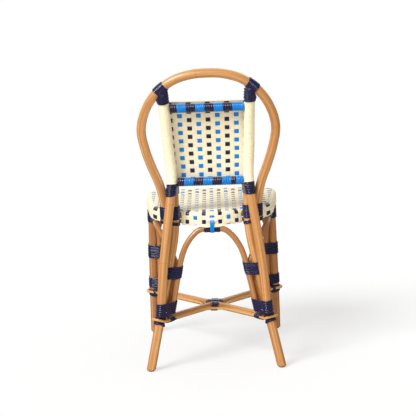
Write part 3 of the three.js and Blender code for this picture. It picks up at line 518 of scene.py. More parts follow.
def limb_point(leg, sign, height, angle):
    """Centre of an arch's limb held against a leg."""
    reach = (FRAME_POLE / 2 + ARCH_POLE / 2 + FIT_GAP) * SLANT
    turn = math.radians(angle)
    return at_height(leg, height) + at(sign * reach * math.cos(turn), reach * math.sin(turn), 0)


def limb_heights(foot):
    return [mix(foot, ARCH_TIE, share) for share in LIMB_SHARES]


def mirrored(half, crown):
    return bent_line([*half, crown, *[p * (-1, 1, 1) for p in reversed(half)]])


def rear_arch_line():
    leg = REAR_LEGS["left"]
    tie = at_height(leg, ARCH_TIE)
    half = []
    for height in limb_heights(REAR_ARCH_FOOT):
        place = at_height(leg, height)
        half.append(at(place[0] - tie[0] + REAR_ARCH_TIE_HALF_SPAN, place[1], height))
    for rise, across in REAR_ARCH_SHARES:
        depth = mix(tie[1], REAR_ARCH_TOP_DEPTH, rise)
        half.append(at(across * REAR_ARCH_TIE_HALF_SPAN, depth, mix(ARCH_TIE, REAR_ARCH_TOP, rise)))
    return mirrored(half, at(0, REAR_ARCH_TOP_DEPTH, REAR_ARCH_TOP))


def front_arch_line():
    leg = FRONT_LEGS["left"]
    half = [limb_point(leg, 1, height, LIMB_ANGLES["front"]) for height in limb_heights(FRONT_ARCH_FOOT)]
    tie = half[-1]
    for rise, across in FRONT_ARCH_SHARES:
        half.append(at(across * tie[0], mix(tie[1], FRONT_ARCH_TOP_DEPTH, rise), mix(ARCH_TIE, ARCH_TOP, rise)))
    return mirrored(half, at(0, FRONT_ARCH_TOP_DEPTH, ARCH_TOP))


def side_arch_line(name, sign):
    rear = [limb_point(REAR_LEGS[name], sign, h, LIMB_ANGLES["side_rear"]) for h in limb_heights(REAR_ARCH_FOOT)]
    front = [limb_point(FRONT_LEGS[name], sign, h, LIMB_ANGLES["side_front"]) for h in limb_heights(FRONT_ARCH_FOOT)]
    crown = []
    for share, rise, bow in SIDE_ARCH_SHARES:
        place = mix(rear[-1], front[-1], share)
        crown.append(at(place[0] + sign * bow * SIDE_ARCH_BOW, place[1], mix(ARCH_TIE, ARCH_TOP, rise)))
    return bent_line([*rear, *crown, *reversed(front)])


REAR_ARCH = rear_arch_line()
FRONT_ARCH = front_arch_line()
SIDE_ARCHES = {name: side_arch_line(name, sign) for name, sign in SIDES}
ARCHES = {"rear": REAR_ARCH, "front": FRONT_ARCH, **SIDE_ARCHES}


def level_directions(start, end, count):
    return [at(math.cos(turn), math.sin(turn), 0) for turn in np.linspace(start, end, count)]


def seat_outline(count=720):
    """Centre line of the ring and the direction out of the seat, evenly spaced from the rear right round."""
    side_run = SEAT_CENTRE_DEPTH - SEAT_FRONT_DEPTH - SEAT_CORNER_RADIUS
    flare = math.atan2(SEAT_FRONT_HALF_WIDTH - SEAT_REAR_RADIUS, side_run)
    corner = at(SEAT_FRONT_HALF_WIDTH - SEAT_CORNER_RADIUS, SEAT_FRONT_DEPTH + SEAT_CORNER_RADIUS, 0)
    centre = at(0, SEAT_CENTRE_DEPTH, 0)
    half = [centre + out * SEAT_REAR_RADIUS for out in level_directions(math.pi / 2, flare, 60)]
    half += [corner + out * SEAT_CORNER_RADIUS for out in level_directions(flare, -math.pi / 2, 40)]
    for share in np.linspace(1, 0, 20)[1:]:
        half.append(at(corner[0] * share, SEAT_FRONT_DEPTH - SEAT_FRONT_BOW * (1 - share * share), 0))
    loop = np.array([*half, *[p * (-1, 1, 1) for p in reversed(half[:-1])]])
    total = travel(loop)[-1]
    points = along(loop, np.arange(count) * total / count)
    facing = headings(points, closed=True)
    for _ in range(6):
        facing = (np.roll(facing, 1, axis=0) + 2 * facing + np.roll(facing, -1, axis=0)) / 4
    facing /= np.linalg.norm(facing, axis=1)[:, None]
    outward = np.stack([-facing[:, 1], facing[:, 0], np.zeros(count)], axis=-1)
    return points, outward


OUTLINE, OUTWARD = seat_outline()


def open_runs(blocked):
    """Places round a loop in runs, from each blocked stretch to the next."""
    start = int(np.argmax(blocked & ~np.roll(blocked, 1)))
    runs = [[]]
    for place in np.roll(np.arange(len(blocked)), -start):
        if blocked[place]:
            runs.append([])
        else:
            runs[-1].append(place)
    return [run for run in runs if run]


# ---------------------------------------------------------------- finishes


class Nodes:
    """Lays out and joins the nodes of a finish, or of the air."""

    def __init__(self, tree):
        self.nodes, self.links = tree.nodes, tree.links

    def new(self, kind):
        return self.nodes.new(f"ShaderNode{kind}")

    def feed(self, socket, value):
        """Sets a number or a colour on a socket, and links anything else to it."""
        if isinstance(value, (int, float, tuple)):
            socket.default_value = value
        else:
            self.links.new(value, socket)

    def dress(self, **values):
        """Feeds the shader's sockets, which are named with _ for a space."""
        shader = self.nodes["Principled BSDF"]
        for name, value in values.items():
            self.feed(shader.inputs[name.replace("_", " ")], value)

    def reckon(self, operation, *values):
        node = self.new("Math")
        node.operation = operation
        for socket, value in zip(node.inputs, values):
            self.feed(socket, value)
        return node.outputs[0]

    def own_map(self):
        """The piece's own map: its place across or round, and its place along."""
        mapped = self.new("UVMap")
        mapped.uv_map = "UVMap"
        split = self.new("SeparateXYZ")
        self.feed(split.inputs[0], mapped.outputs[0])
        return split.outputs[0], split.outputs[1]

    def joined(self, *parts):
        node = self.new("CombineXYZ")
        for socket, part in zip(node.inputs, parts):
            self.feed(socket, part)
        return node.outputs[0]

    def pole_pattern(self, stretch, thickness):
        """Coordinates that run along a pole and close round it."""
        round_it, along_it = self.own_map()
        turn = self.reckon("MULTIPLY", round_it, 2 * math.pi)
        waves = [self.reckon("MULTIPLY", self.reckon(wave, turn), thickness) for wave in ("COSINE", "SINE")]
        return self.joined(self.reckon("MULTIPLY", along_it, stretch), *waves)

    def places(self):
        return self.new("TexCoord").outputs["Object"]

    def noise(self, vector, scale, detail):
        node = self.new("TexNoise")
        for name, value in (("Scale", scale), ("Detail", detail), ("Roughness", 0.6), ("Vector", vector)):
            self.feed(node.inputs[name], value)
        return node.outputs["Fac"]

    def ramp(self, value, *stops):
        node = self.new("ValToRGB")
        elements = node.color_ramp.elements
        while len(elements) < len(stops):
            elements.new(0.5)
        for element, (place, shade) in zip(elements, stops):
            element.position = place
            element.color = (shade, shade, shade, 1) if isinstance(shade, float) else shade
        self.feed(node.inputs[0], value)
        return node.outputs[0]

    def blend(self, share, first, second, way="MIX"):
        node = self.new("Mix")
        node.data_type = "RGBA"
        node.blend_type = way
        for socket, value in ((node.inputs[0], share), (node.inputs[6], first), (node.inputs[7], second)):
            self.feed(socket, value)
        return node.outputs[2]

    def bump(self, height, strength):
        node = self.new("Bump")
        for name, value in (("Distance", 0.0002), ("Strength", strength), ("Height", height)):
            self.feed(node.inputs[name], value)
        return node.outputs[0]


def new_finish(name):
    material = bpy.data.materials.new(name)
    material.use_nodes = True
    return material, Nodes(material.node_tree)


def mix_shade(first, second, share):
    return tuple(mix(a, b, share) for a, b in zip(first, second))


def darkened(shade, share):
    return tuple(c * share for c in shade[:3]) + (1.0,)


def rattan_finish(name, pale, main, dark, gloss):
    """Varnished rattan: long fibres, slow change of tone, faint rings where leaves grew, a clear coat."""
    material, nodes = new_finish(name)
    fibres = nodes.noise(nodes.pole_pattern(0.8, 0.7), 4.0, 2.0)
    tone = nodes.noise(nodes.pole_pattern(2.5, 0.25), 1.0, 1.0)
    fine = nodes.noise(nodes.pole_pattern(2.5, 3.0), 4.0, 2.0)
    base = nodes.ramp(
        fibres, (0.25, mix_shade(main, dark, 0.35)), (0.47, main), (0.72, mix_shade(main, pale, 0.9))
    )
    slow = nodes.ramp(tone, (0.32, (0.9, 0.85, 0.78, 1)), (0.55, WHITE))
    toned = nodes.blend(0.8, base, slow, "MULTIPLY")
    ring = nodes.new("Attribute")
    ring.attribute_name = "leaf_ring"
    stained = nodes.blend(nodes.reckon("MULTIPLY", ring.outputs["Fac"], 0.2), toned, dark)
    nodes.dress(
        Base_Color=stained,
        Roughness=nodes.ramp(fine, (0.3, 0.34), (0.7, 0.46)),
        Normal=nodes.bump(fine, 0.12),
        Coat_Weight=gloss,
        Coat_Roughness=0.2,
    )
    return material


def strand_finish(name, main, edge, roughness, shine):
    """Plastic strand: fine lines along it, painted shade darkening its edges where strands meet, slight change from
    place to place.
    """
    material, nodes = new_finish(name)
    across, onward = nodes.own_map()
    off_middle = nodes.reckon("ABSOLUTE", nodes.reckon("SUBTRACT", across, 0.5))
    # Mask of the strand's edges, where painted shade is laid
    rim = nodes.ramp(nodes.reckon("MULTIPLY", off_middle, 2.0), (0.7, 0.0), (1.0, 1.0))
    drawn = nodes.joined(nodes.reckon("MULTIPLY", onward, 60.0), nodes.reckon("MULTIPLY", across, 9.0))
    lines = nodes.noise(drawn, 1.6, 3.0)
    patches = nodes.noise(nodes.places(), 38.0, 2.0)
    toned = nodes.blend(nodes.ramp(lines, (0.35, 0.0), (0.7, 1.0)), darkened(main, 0.94), main)
    patched = nodes.blend(nodes.reckon("MULTIPLY", patches, 0.2), toned, edge)
    nodes.dress(
        # Painted shade: the strand's edges are blended towards the darker edge colour
        Base_Color=nodes.blend(nodes.reckon("MULTIPLY", rim, 0.45), patched, edge),
        Roughness=nodes.ramp(lines, (0.3, roughness - 0.04), (0.7, roughness + 0.08)),
        Normal=nodes.bump(lines, 0.2),
        Specular_IOR_Level=shine,
        IOR=1.6,
    )
    return material


def moulded_finish(name, main, roughness):
    """Moulded or pressed piece: faint mottling and scuffs on Object coordinates."""
    material, nodes = new_finish(name)
    mottle = nodes.noise(nodes.places(), 420.0, 4.0)
    nodes.dress(
        Base_Color=nodes.blend(mottle, darkened(main, 0.8), main),
        Roughness=nodes.ramp(mottle, (0.3, roughness - 0.08), (0.7, roughness + 0.1)),
        Normal=nodes.bump(mottle, 0.3),
    )
    return material


def floor_finish(floor):
    """Pale studio floor: nearly white to the camera with soft shadows, warm in the light that it throws back."""
    material, nodes = new_finish("studio_floor")
    mottle = nodes.noise(nodes.places(), 2.5, 3.0)
    paper = nodes.blend(nodes.reckon("MULTIPLY", mottle, 0.03), floor, STUDIO_GREY)
    shaded = nodes.blend(1.0, paper, (SHADED_SHARE, SHADED_SHARE, SHADED_SHARE, 1), "MULTIPLY")
    path = nodes.new("LightPath")
    thrown = nodes.blend(path.outputs["Is Glossy Ray"], (0.8, 0.76, 0.68, 1), (0.1, 0.1, 0.1, 1))
    nodes.dress(
        Base_Color=nodes.blend(path.outputs["Is Camera Ray"], thrown, shaded),
        Roughness=0.9,
        Specular_IOR_Level=0.0,
        Emission_Color=(0.98, 0.99, 1.0, 1),
        Emission_Strength=nodes.reckon("MULTIPLY", path.outputs["Is Camera Ray"], FLOOR_GLOW),
    )
    return material


def backdrop_finish(fill):
    """Far backdrop: white to the camera and in reflections, as bright as the air in its scattered light."""
    material, nodes = new_finish("studio_backdrop")
    mottle = nodes.noise(nodes.places(), 0.2, 2.0)
    path = nodes.new("LightPath")
    lit = nodes.reckon("MAXIMUM", path.outputs["Is Camera Ray"], path.outputs["Is Glossy Ray"])
    nodes.dress(
        Base_Color=BLACK,
        Roughness=1.0,
        Specular_IOR_Level=0.0,
        Emission_Color=nodes.blend(nodes.reckon("MULTIPLY", mottle, 0.02), WHITE, STUDIO_GREY),
        Emission_Strength=nodes.reckon("MAXIMUM", lit, fill),
    )
    return material


FINISHES = {}


def finishes():
    """The chair's materials, made once from the colours in the sidebar."""
    if not FINISHES:
        tints = bpy.context.scene.chair_colours
        pale, main, dark, brown, cane, cream, cream_painted_edge_shade, navy, blue, glide, plate = (
            tuple(getattr(tints, name))
            for name in ("rattan_pale", "rattan_main", "rattan_dark", "rattan_brown_and_shade", "cane_pale", "cream",
                         "cream_painted_edge_shade", "navy", "blue", "glide", "plate")
        )
        cane_main, cane_dark = mix_shade(cane, main, 0.25), mix_shade(cane, dark, 0.55)
        FINISHES["rattan"] = rattan_finish("varnished_rattan", pale, main, dark, 0.9)
        FINISHES["cane"] = rattan_finish("peeled_cane", cane, cane_main, cane_dark, 0.4)
        # Darker copy of the rattan: partly the poles' own browner tone, partly painted shade for the front legs and
        # arches.
        FINISHES["brown_and_shaded_rattan"] = rattan_finish("brown_and_shaded_rattan", mix_shade(brown, pale, 0.4), brown, dark, 0.9)
        # The second colour of each strand is painted shade at its edges: cream's edge shade, navy towards black, blue
        # towards navy.
        FINISHES["cream_strand"] = strand_finish("cream_strand", cream, cream_painted_edge_shade, 0.36, 0.4)
        FINISHES["navy_strand"] = strand_finish("navy_strand", navy, mix_shade(navy, BLACK, 0.6), 0.16, 0.95)
        FINISHES["blue_strand"] = strand_finish("blue_strand", blue, mix_shade(blue, navy, 0.45), 0.16, 0.6)
        FINISHES["glide"] = moulded_finish("foot_glide", glide, 0.5)
        FINISHES["plate"] = moulded_finish("bare_plate", plate, 0.32)
    return FINISHES


# ---------------------------------------------------------------- making pieces


def only(piece):
    """Selects one piece and makes it active."""
    bpy.ops.object.select_all(action="DESELECT")
    piece.select_set(True)
    bpy.context.view_layer.objects.active = piece


def finished(piece, finish, slot, *nodes):
    """Gives a piece its finish and its place on the chair."""
    piece.data.materials.clear()
    piece.data.materials.append(finishes()[finish])
    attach(piece, "root")
    if nodes:
        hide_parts(*nodes)
    return piece


def leaf_rings(name, total):
    """Distances along a pole at which it carries the ring of a leaf."""
    chance = random.Random(name)
    places, here = [], chance.uniform(0.03, 0.16)
    while here < total:
        places.append(here)
        here += chance.uniform(0.11, 0.24)
    return np.array(places)


def near_ring(distances, rings, reach):
    if len(rings) == 0:
        return np.zeros(len(distances))
    gap = np.abs(distances[:, None] - rings[None, :]).min(axis=1)
    return np.exp(-((gap / reach) ** 2))


def mended(piece, *, doubles):
    """Turns a piece's faces outwards, after its doubled points are merged if it has any."""
    only(piece)
    bpy.ops.object.mode_set(mode="EDIT")
    bpy.ops.mesh.select_all(action="SELECT")
    if doubles:
        bpy.ops.mesh.remove_doubles(threshold=1e-6)
    bpy.ops.mesh.normals_make_consistent(inside=False)
    bpy.ops.object.mode_set(mode="OBJECT")


def pole_places(total, closed):
    """Distances along a pole at which it gets a point, with its ends' chamfers."""
    if closed:
        count = round(total / RING_STEP)
        return np.arange(count) * total / count
    even = np.linspace(0, total, round(total / POLE_STEP) + 1)
    return np.sort(np.concatenate([even, [POLE_CHAMFER, total - POLE_CHAMFER]]))


def pole_radii(name, places, rings, diameter, closed):
    """How thick a pole is at its points, as a share: grown swellings, rings and the chamfered ends."""
    chance = random.Random(name + "_growth")
    growth = bpy.context.scene.chair_poles.growth
    phases = [chance.uniform(0, 2 * math.pi) for _ in SWELLING_PITCHES]
    waves = 0
    if not closed:
        pairs = zip(SWELLING_PITCHES, phases)
        waves = sum(np.sin(2 * math.pi * places / pitch + phase) for pitch, phase in pairs) / 3
    swelling = growth * (0.5 * waves - 0.5) + LEAF_RING_HEIGHT * near_ring(places, rings, LEAF_RING_REACH)
    radii = 1 + swelling / (diameter / 2)
    if not closed:
        radii[[0, -1]] *= CHAMFER_SHARE
    return radii


def bend_pole(name, line, diameter, facets=20, closed=False):
    """Bends a round pole along a line, with its swelling, its rings and its own map along and round it."""
    line = line + at(0, DEPTH_SHIFT, 0)
    if closed:
        line = np.vstack([line, line[:1]])
    total = travel(line)[-1]
    rings = leaf_rings(name, total)
    places = pole_places(total, closed)
    line = along(line, places)
    bpy.ops.object.select_all(action="DESELECT")
    bpy.ops.curve.primitive_nurbs_path_add()
    piece = bpy.context.object
    piece.name = name
    path = piece.data
    path.splines.clear()
    spline = path.splines.new("POLY")
    spline.points.add(len(line) - 1)
    spline.points.foreach_set("co", np.hstack([line, np.ones((len(line), 1))]).ravel())
    spline.points.foreach_set("radius", pole_radii(name, places, rings, diameter, closed))
    spline.use_cyclic_u = closed
    path.dimensions = "3D"
    path.bevel_depth = diameter / 2
    path.bevel_resolution = facets // 2 - 2
    path.use_fill_caps = not closed
    bpy.ops.object.convert(target="MESH")
    piece = bpy.context.object
    mended(piece, doubles=True)
    bpy.ops.object.transform_apply(location=True, rotation=True, scale=True)
    bpy.ops.object.shade_smooth_by_angle(angle=math.radians(50))
    mark_rings(piece.data, total, rings)
    return piece


def mark_rings(mesh, total, rings):
    """Turns the map so that it runs round and then in metres along the pole, and writes where the rings are."""
    corners = np.empty(len(mesh.loops) * 2, np.float32)
    layer = mesh.uv_layers["UVMap"]
    layer.uv.foreach_get("vector", corners)
    corners = corners.reshape(-1, 2)[:, ::-1] * np.array((1, total), np.float32)
    layer.uv.foreach_set("vector", corners.ravel())
    owner = np.empty(len(mesh.loops), np.int32)
    mesh.loops.foreach_get("vertex_index", owner)
    distance = np.zeros(len(mesh.vertices))
    distance[owner] = corners[:, 1]
    written = mesh.attributes.new("leaf_ring", "FLOAT", "POINT")
    written.data.foreach_set("value", near_ring(distance, rings, LEAF_RING_STAIN).astype(np.float32))


def strand_section(width, thickness, sides=8, flatness=0.8):
    """Flat oval across a strand: places from its middle, sideways and outwards."""
    turns = 2 * math.pi * (np.arange(sides) + 0.5) / sides
    across, out = np.cos(turns), np.sin(turns)
    across = np.sign(across) * np.abs(across) ** (0.55 if flatness < 1 else 0.85) * width / 2
    out = np.sign(out) * np.abs(out) ** flatness * thickness / 2
    return np.stack([across, out], axis=-1)


def strand_store():
    return {"points": [], "quads": [], "places": [], "ends": [], "end_places": [], "count": 0}


def lay_strand(store, line, outward, section):
    """Adds one strand to a store of points, faces and map places. Its flat lies against what it is laid on."""
    facing = headings(line)
    outward = outward - facing * np.sum(outward * facing, axis=1)[:, None]
    outward = outward / np.linalg.norm(outward, axis=1)[:, None]
    sideways = np.cross(facing, outward)
    count, sides = len(line), len(section)
    points = line[:, None, :] + sideways[:, None, :] * section[None, :, :1] + outward[:, None, :] * section[None, :, 1:]
    start = store["count"]
    steps = np.arange(count - 1)[:, None] * sides
    side = np.arange(sides)[None, :]
    after = (side + 1) % sides
    quads = np.stack([steps + side, steps + after, steps + sides + after, steps + sides + side], axis=-1)
    run = travel(line)
    across = section[:, 0] / (section[:, 0].max() - section[:, 0].min()) + 0.5
    low, high = np.repeat(run[:-1], sides), np.repeat(run[1:], sides)
    first, second = np.tile(across, count - 1), np.tile(np.roll(across, -1), count - 1)
    corners = ((first, low), (second, low), (second, high), (first, high))
    store["points"].append(points.reshape(-1, 3))
    store["quads"].append(quads.reshape(-1, 4) + start)
    store["places"].append(np.stack([np.stack(corner, -1) for corner in corners], axis=1).reshape(-1, 2))
    for order, base, distance in ((np.arange(sides)[::-1], 0, run[0]), (np.arange(sides), count - 1, run[-1])):
        store["ends"].append(start + base * sides + order)
        store["end_places"].append(np.stack([across[order], np.full(sides, distance)], -1))
    store["count"] += count * sides


def weave_piece(name, store):
    """Mesh of the strands in a store, smooth along its strands."""
    points = np.vstack(store["points"]) + at(0, DEPTH_SHIFT, 0)
    faces = np.vstack(store["quads"]).tolist() + [end.tolist() for end in store["ends"]]
    mesh = bpy.data.meshes.new(name)
    mesh.from_pydata(points.tolist(), [], faces)
    layer = mesh.uv_layers.new(name="UVMap")
    layer.uv.foreach_set("vector", np.vstack([*store["places"], *store["end_places"]]).astype(np.float32).ravel())
    mesh.update()
    piece = bpy.data.objects.new(name, mesh)
    bpy.context.scene.collection.objects.link(piece)
    mended(piece, doubles=False)
    bpy.ops.object.shade_smooth_by_angle(angle=math.radians(65))
    return piece


def strand_piece(name, finish, node, section, *strands):
    """One piece of one or more strands, each a line and its outward directions, all of one section."""
    store = strand_store()
    for line, outward in strands:
        lay_strand(store, line, outward, section)
    return finished(weave_piece(name, store), finish, finish, node)


def strand_stores(*tints):
    return {tint: strand_store() for tint in tints}


def finish_stores(name, stores, node):
    """One piece for each store of strands, in its colour. Strands across and round are cream."""
    for tint, store in stores.items():
        finish = f"{tint}_strand" if tint in ("navy", "blue") else "cream_strand"
        finished(weave_piece(f"{name}_{tint}", store), finish, finish, node)


def bevelled(piece, width, segments, limit="ANGLE"):
    """Rounds the edges of the active piece."""
    rounded = piece.modifiers.new("rounded", "BEVEL")
    rounded.width = width
    rounded.segments = segments
    rounded.limit_method = limit
    bpy.ops.object.modifier_apply(modifier="rounded")


# ---------------------------------------------------------------- lashings


def unzipped(entries):
    """One array for each part of the entries, such as a strand's places and its outward directions."""
    return tuple(np.array(part) for part in zip(*entries))


def unit(vector):
    return vector / np.linalg.norm(vector)


def bundle_place(members, clearance, height, angle):
    """Where a taut strand runs round upright poles: its place and outward direction at a height and an angle."""
    out = at(math.cos(angle), math.sin(angle), 0)
    poles = [(at_height(line, height), diameter / 2 * SLANT) for line, diameter in members]
    centre, radius = max(poles, key=lambda pole: pole[0] @ out + pole[1])
    return centre + out * (radius + clearance), out


def turns_of(turns, steps):
    """Share of the way and angle at each point of a strand that goes round some times."""
    return [(step / (turns * steps), 2 * math.pi * step / steps) for step in range(turns * steps + 1)]


def even_run(line, outward, step=STRAND_STEP):
    """A line and its outward directions, spaced evenly."""
    run = travel(line)
    places = np.linspace(0, run[-1], max(2, round(run[-1] / step)) + 1)
    out = np.stack([np.interp(places, run, outward[:, axis]) for axis in range(3)], axis=-1)
    return along(line, places), out / np.linalg.norm(out, axis=1)[:, None]


def lash(name, members, low, span, node, tilt=0.0, lifted=0.0, growing=False, lean=0.0, over=0.0):
    """Lashing round upright poles, in turns of the flat navy strand that lie side by side."""
    strands = bpy.context.scene.chair_strands
    width, thickness = strands.lashing_width, strands.lashing_thickness
    turns = max(1, math.ceil((span - width) / width))
    chance = random.Random(name)
    phases = [chance.uniform(0, 6.28) for _ in range(2)]
    clearance = FIT_GAP + thickness / 2 + LASHING_ROOM + over
    strand = []
    for share, angle in turns_of(turns, 40):
        slow, fast = math.sin(2.3 * angle / 2 + phases[0]), math.sin(5.1 * angle / 4 + phases[1])
        sway = SWAYS[0] * slow + SWAYS[1] * fast
        rise = sway + tilt * (share if growing else 1) * math.cos(angle - lifted) - lean * math.sin(angle)
        point, out = bundle_place(members, clearance, mix(low + width / 2, low + span - width / 2, share), angle)
        tucked = min(1, TUCKS_PER_TURN * share * turns, TUCKS_PER_TURN * (1 - share) * turns)
        strand.append((point + at(0, 0, rise) - out * TUCK_DEPTH * (1 - tucked), out))
    section = strand_section(width * STRAND_FILL, thickness, 10, ROUNDED)
    return strand_piece(name, "navy_strand", node, section, even_run(*unzipped(strand)))


def upright_side(line, sign):
    """Half of an arch up to its crown, as a line that rises."""
    middle = len(line) // 2
    return line[:middle] if sign > 0 else line[:middle - 1:-1]


def pole_winding_line(line, middle, span, pitch, radius, steps, turning=1):
    """Strand line round one pole, and its outward directions, over a span about a share of the pole."""
    run = travel(line)
    centre = run[-1] * middle
    turns = max(1, round(span / pitch))
    share = np.arange(turns * steps + 1) / (turns * steps)
    places = centre + (share - 0.5) * (span - pitch)
    centres = along(line, places)
    facing = along(line, places + 0.0005) - along(line, places - 0.0005)
    facing /= np.linalg.norm(facing, axis=1)[:, None]
    side = np.zeros_like(facing)
    previous = np.cross(facing[0], at(0.13, 0.97, 0.21))
    for index, direction in enumerate(facing):
        previous = previous - direction * (previous @ direction)
        previous /= np.linalg.norm(previous)
        side[index] = previous
    other = np.cross(facing, side)
    angles = math.pi / 2 + turning * 2 * math.pi * turns * share
    outward = side * np.cos(angles)[:, None] + other * np.sin(angles)[:, None]
    return centres + outward * radius, outward, share * turns


def tuck(line, outward, turn, depth):
    """Draws in both ends of a winding. Where its points lie is counted in turns."""
    free = np.minimum(1, np.minimum(turn - turn[0], turn[-1] - turn) * TUCKS_PER_TURN)
    return line - outward * (depth * (1 - free))[:, None]


def wind(name, line, middle, span, diameter, strand, finish, node, steps, flatness=ROUNDED):
    """Winding of one strand, of a width and thickness, along a pole, its turns side by side."""
    width, thickness = strand
    radius = diameter / 2 + FIT_GAP + thickness / 2
    path, outward, turn = pole_winding_line(line, middle, span, width * 1.02, radius, steps)
    section = strand_section(width * STRAND_FILL, thickness, 10, flatness)
    return strand_piece(name, finish, node, section, (tuck(path, outward, turn, TUCK_DEPTH), outward))


# ---------------------------------------------------------------- weaves

# Across sixteen strands: their colours, and +1 where they lie over the even rows
TINTS = ("blue",) * 4 + ("cream",) * 4 + ("navy",) * 4 + ("cream",) * 4
OVERS = (1, 1, 1, 1, -1, -1, 1, 1, -1, -1, -1, -1, 1, 1, -1, -1)


def over_under(place):
    """How far a strand lies out at a place counted in rows: +1 over the even rows, -1 over the odd ones."""
    return np.clip(1.7 * np.cos(np.pi * np.asarray(place, float)), -1, 1)


def counted(blue_middle, pitch, first, last):
    """Number and place of each strand between two places. The numbers of the middle blue four are 0 to 3."""
    low = math.ceil((first - blue_middle) / pitch + 1.5)
    high = math.floor((last - blue_middle) / pitch + 1.5)
    return [(index, blue_middle + (index - 1.5) * pitch) for index in range(low, high + 1)]


def woven_columns(blue_middle, pitch, ends):
    """Place, colour and over-under of each lengthways strand between two places."""
    strands = counted(blue_middle, pitch, *ends)
    return [(place, TINTS[index % len(TINTS)], OVERS[index % len(TINTS)]) for index, place in strands]


def carried_on(line, outward, first, last):
    """A strand with a tail at each end. Both tails run outwards, and each is its places and directions."""
    return np.vstack([first[0][::-1], line, last[0]]), np.vstack([first[1][::-1], outward, last[1]])


def panel_place(share, height):
    """Middle of the back panel's thickness at a share of its half width."""
    left, right = at_height(POSTS["left"], height), at_height(POSTS["right"], height)
    half, middle = (left[..., 0] - right[..., 0]) / 2 + PANEL_OVERLAP, (left[..., 0] + right[..., 0]) / 2
    back = left[..., 1] - WOUND_POST / 2 * SLANT - PANEL_THICKNESS / 2
    return np.stack([middle + share * half, back, height + 0 * back], axis=-1)


def column_share(share, height):
    """Share of the half width at a height: the lengthways strands close up less than the posts do."""
    rise = (height - PANEL_BOTTOM) / (PANEL_TOP - PANEL_BOTTOM)
    return share * (1 - mix(*COLUMN_CLOSING, rise)) - mix(*COLUMN_SHIFT, rise)


def panel_facing(heights):
    """Direction out of the panel's rear face."""
    rise = headings(panel_place(0.0, heights))
    return np.stack([np.zeros(len(heights)), rise[:, 2], -rise[:, 1]], axis=-1)


def weave_back(stores, thickness):
    """The panel's strands up, its strands across, and the thicker ones along its bottom and top."""
    heights = np.linspace(*BACK_COLUMN_ENDS, 81)
    facing = panel_facing(heights)
    rows = (heights - BACK_BLUE_ROW) / BACK_GROUP
    columns = woven_columns(BACK_NAVY_SHARE + 8 * BACK_STRAND_SHARE, BACK_STRAND_SHARE, BACK_COLUMNS)
    section = strand_section(BACK_STRAND_WIDTH, thickness, 6, FLATTER)
    for share, tint, over in columns:
        lift = over * WEAVE_LIFT * over_under(rows)
        line = panel_place(column_share(share, heights), heights) + facing * lift[:, None]
        lay_strand(stores[tint], line, facing, section)
    shares, _, overs = unzipped(columns)
    narrow = strand_section(BACK_ROW_WIDTH, thickness, 6, FLATTER)
    for index, height in counted(BACK_BLUE_ROW, BACK_GROUP / 4, *BACK_ROWS):
        lay_back_row(stores["across"], height, index // 4, column_share(shares, height), overs, narrow)
    border = strand_section(PANEL_BORDER, PANEL_BORDER)
    for height in PANEL_BORDER_HEIGHTS:
        lay_back_row(stores["across"], height, 0, shares, 0 * overs, border)


def lay_back_row(store, height, row, shares, overs, section):
    """One strand across the panel, carried round the wound posts at both ends."""
    posts = [at_height(POSTS[name], height) for name, _ in SIDES]
    half = (posts[0][0] - posts[1][0]) / 2
    places = np.linspace(-0.96, 0.96, 71) * (half / (half + PANEL_OVERLAP))
    heights = np.full(len(places), height)
    out = panel_facing(np.array([height - 0.001, height, height + 0.001]))[1]
    lift = -WEAVE_LIFT * np.interp(places, shares, overs, left=0, right=0) * over_under(row)
    line = panel_place(places, heights) + out * lift[:, None]
    turns = np.radians((8, 18, 28, 38, 48, 58))
    ends = []
    for post, sign in zip(posts, (1, -1)):
        direction = np.stack([sign * np.sin(turns), -np.cos(turns), 0 * turns], axis=-1)
        ends.append((post + direction * (FRAME_POLE / 2 + OVER_WRAP), -direction))
    left_end, right_end = ends
    lay_strand(store, *carried_on(line, np.tile(out, (len(places), 1)), right_end, left_end), section)


MIDDLE = at(0, (SEAT_CENTRE_DEPTH + SEAT_FRONT_DEPTH) / 2, 0)
RIM_ANGLES = np.arctan2(OUTLINE[:, 1] - MIDDLE[1], OUTLINE[:, 0])
RIM_REACH = np.hypot(OUTLINE[:, 1] - MIDDLE[1], OUTLINE[:, 0])
RIM_ORDER = np.argsort(RIM_ANGLES)


def seat_top(x, y):
    """Height of the middle of the woven skin over the seat, dished towards its middle."""
    x, y = np.asarray(x, float), np.asarray(y, float)
    reach = np.interp(np.arctan2(y - MIDDLE[1], x), RIM_ANGLES[RIM_ORDER], RIM_REACH[RIM_ORDER], period=2 * math.pi)
    share = np.clip(np.hypot(y - MIDDLE[1], x) / reach, 0, 1)
    ease = np.clip((share - 0.3) / 0.7, 0, 1)
    return RING_HEIGHT + SKIN_RADIUS - SEAT_DISH * (1 - ease * ease * (3 - 2 * ease))


def edge_depth(x, rear):
    """Where a lengthways strand meets the rear or the front of the outline."""
    part = OUTWARD[:, 1] > 0.05 if rear else OUTWARD[:, 1] < -0.05
    order = np.argsort(OUTLINE[part, 0])
    return float(np.interp(x, OUTLINE[part, 0][order], OUTLINE[part, 1][order]))


def edge_span(y):
    """Half width of the outline at a depth."""
    part = OUTWARD[:, 0] > 0.03
    order = np.argsort(OUTLINE[part, 1])
    return float(np.interp(y, OUTLINE[part, 1][order], OUTLINE[part, 0][order]))


def top_row(depth):
    return (SEAT_REAR_RADIUS + SEAT_CENTRE_DEPTH - depth) / SEAT_TOP_GROUP - SEAT_BLUE_DROP / SEAT_GROUP


def apron_row(drop):
    return (drop - SEAT_BLUE_DROP) / SEAT_GROUP


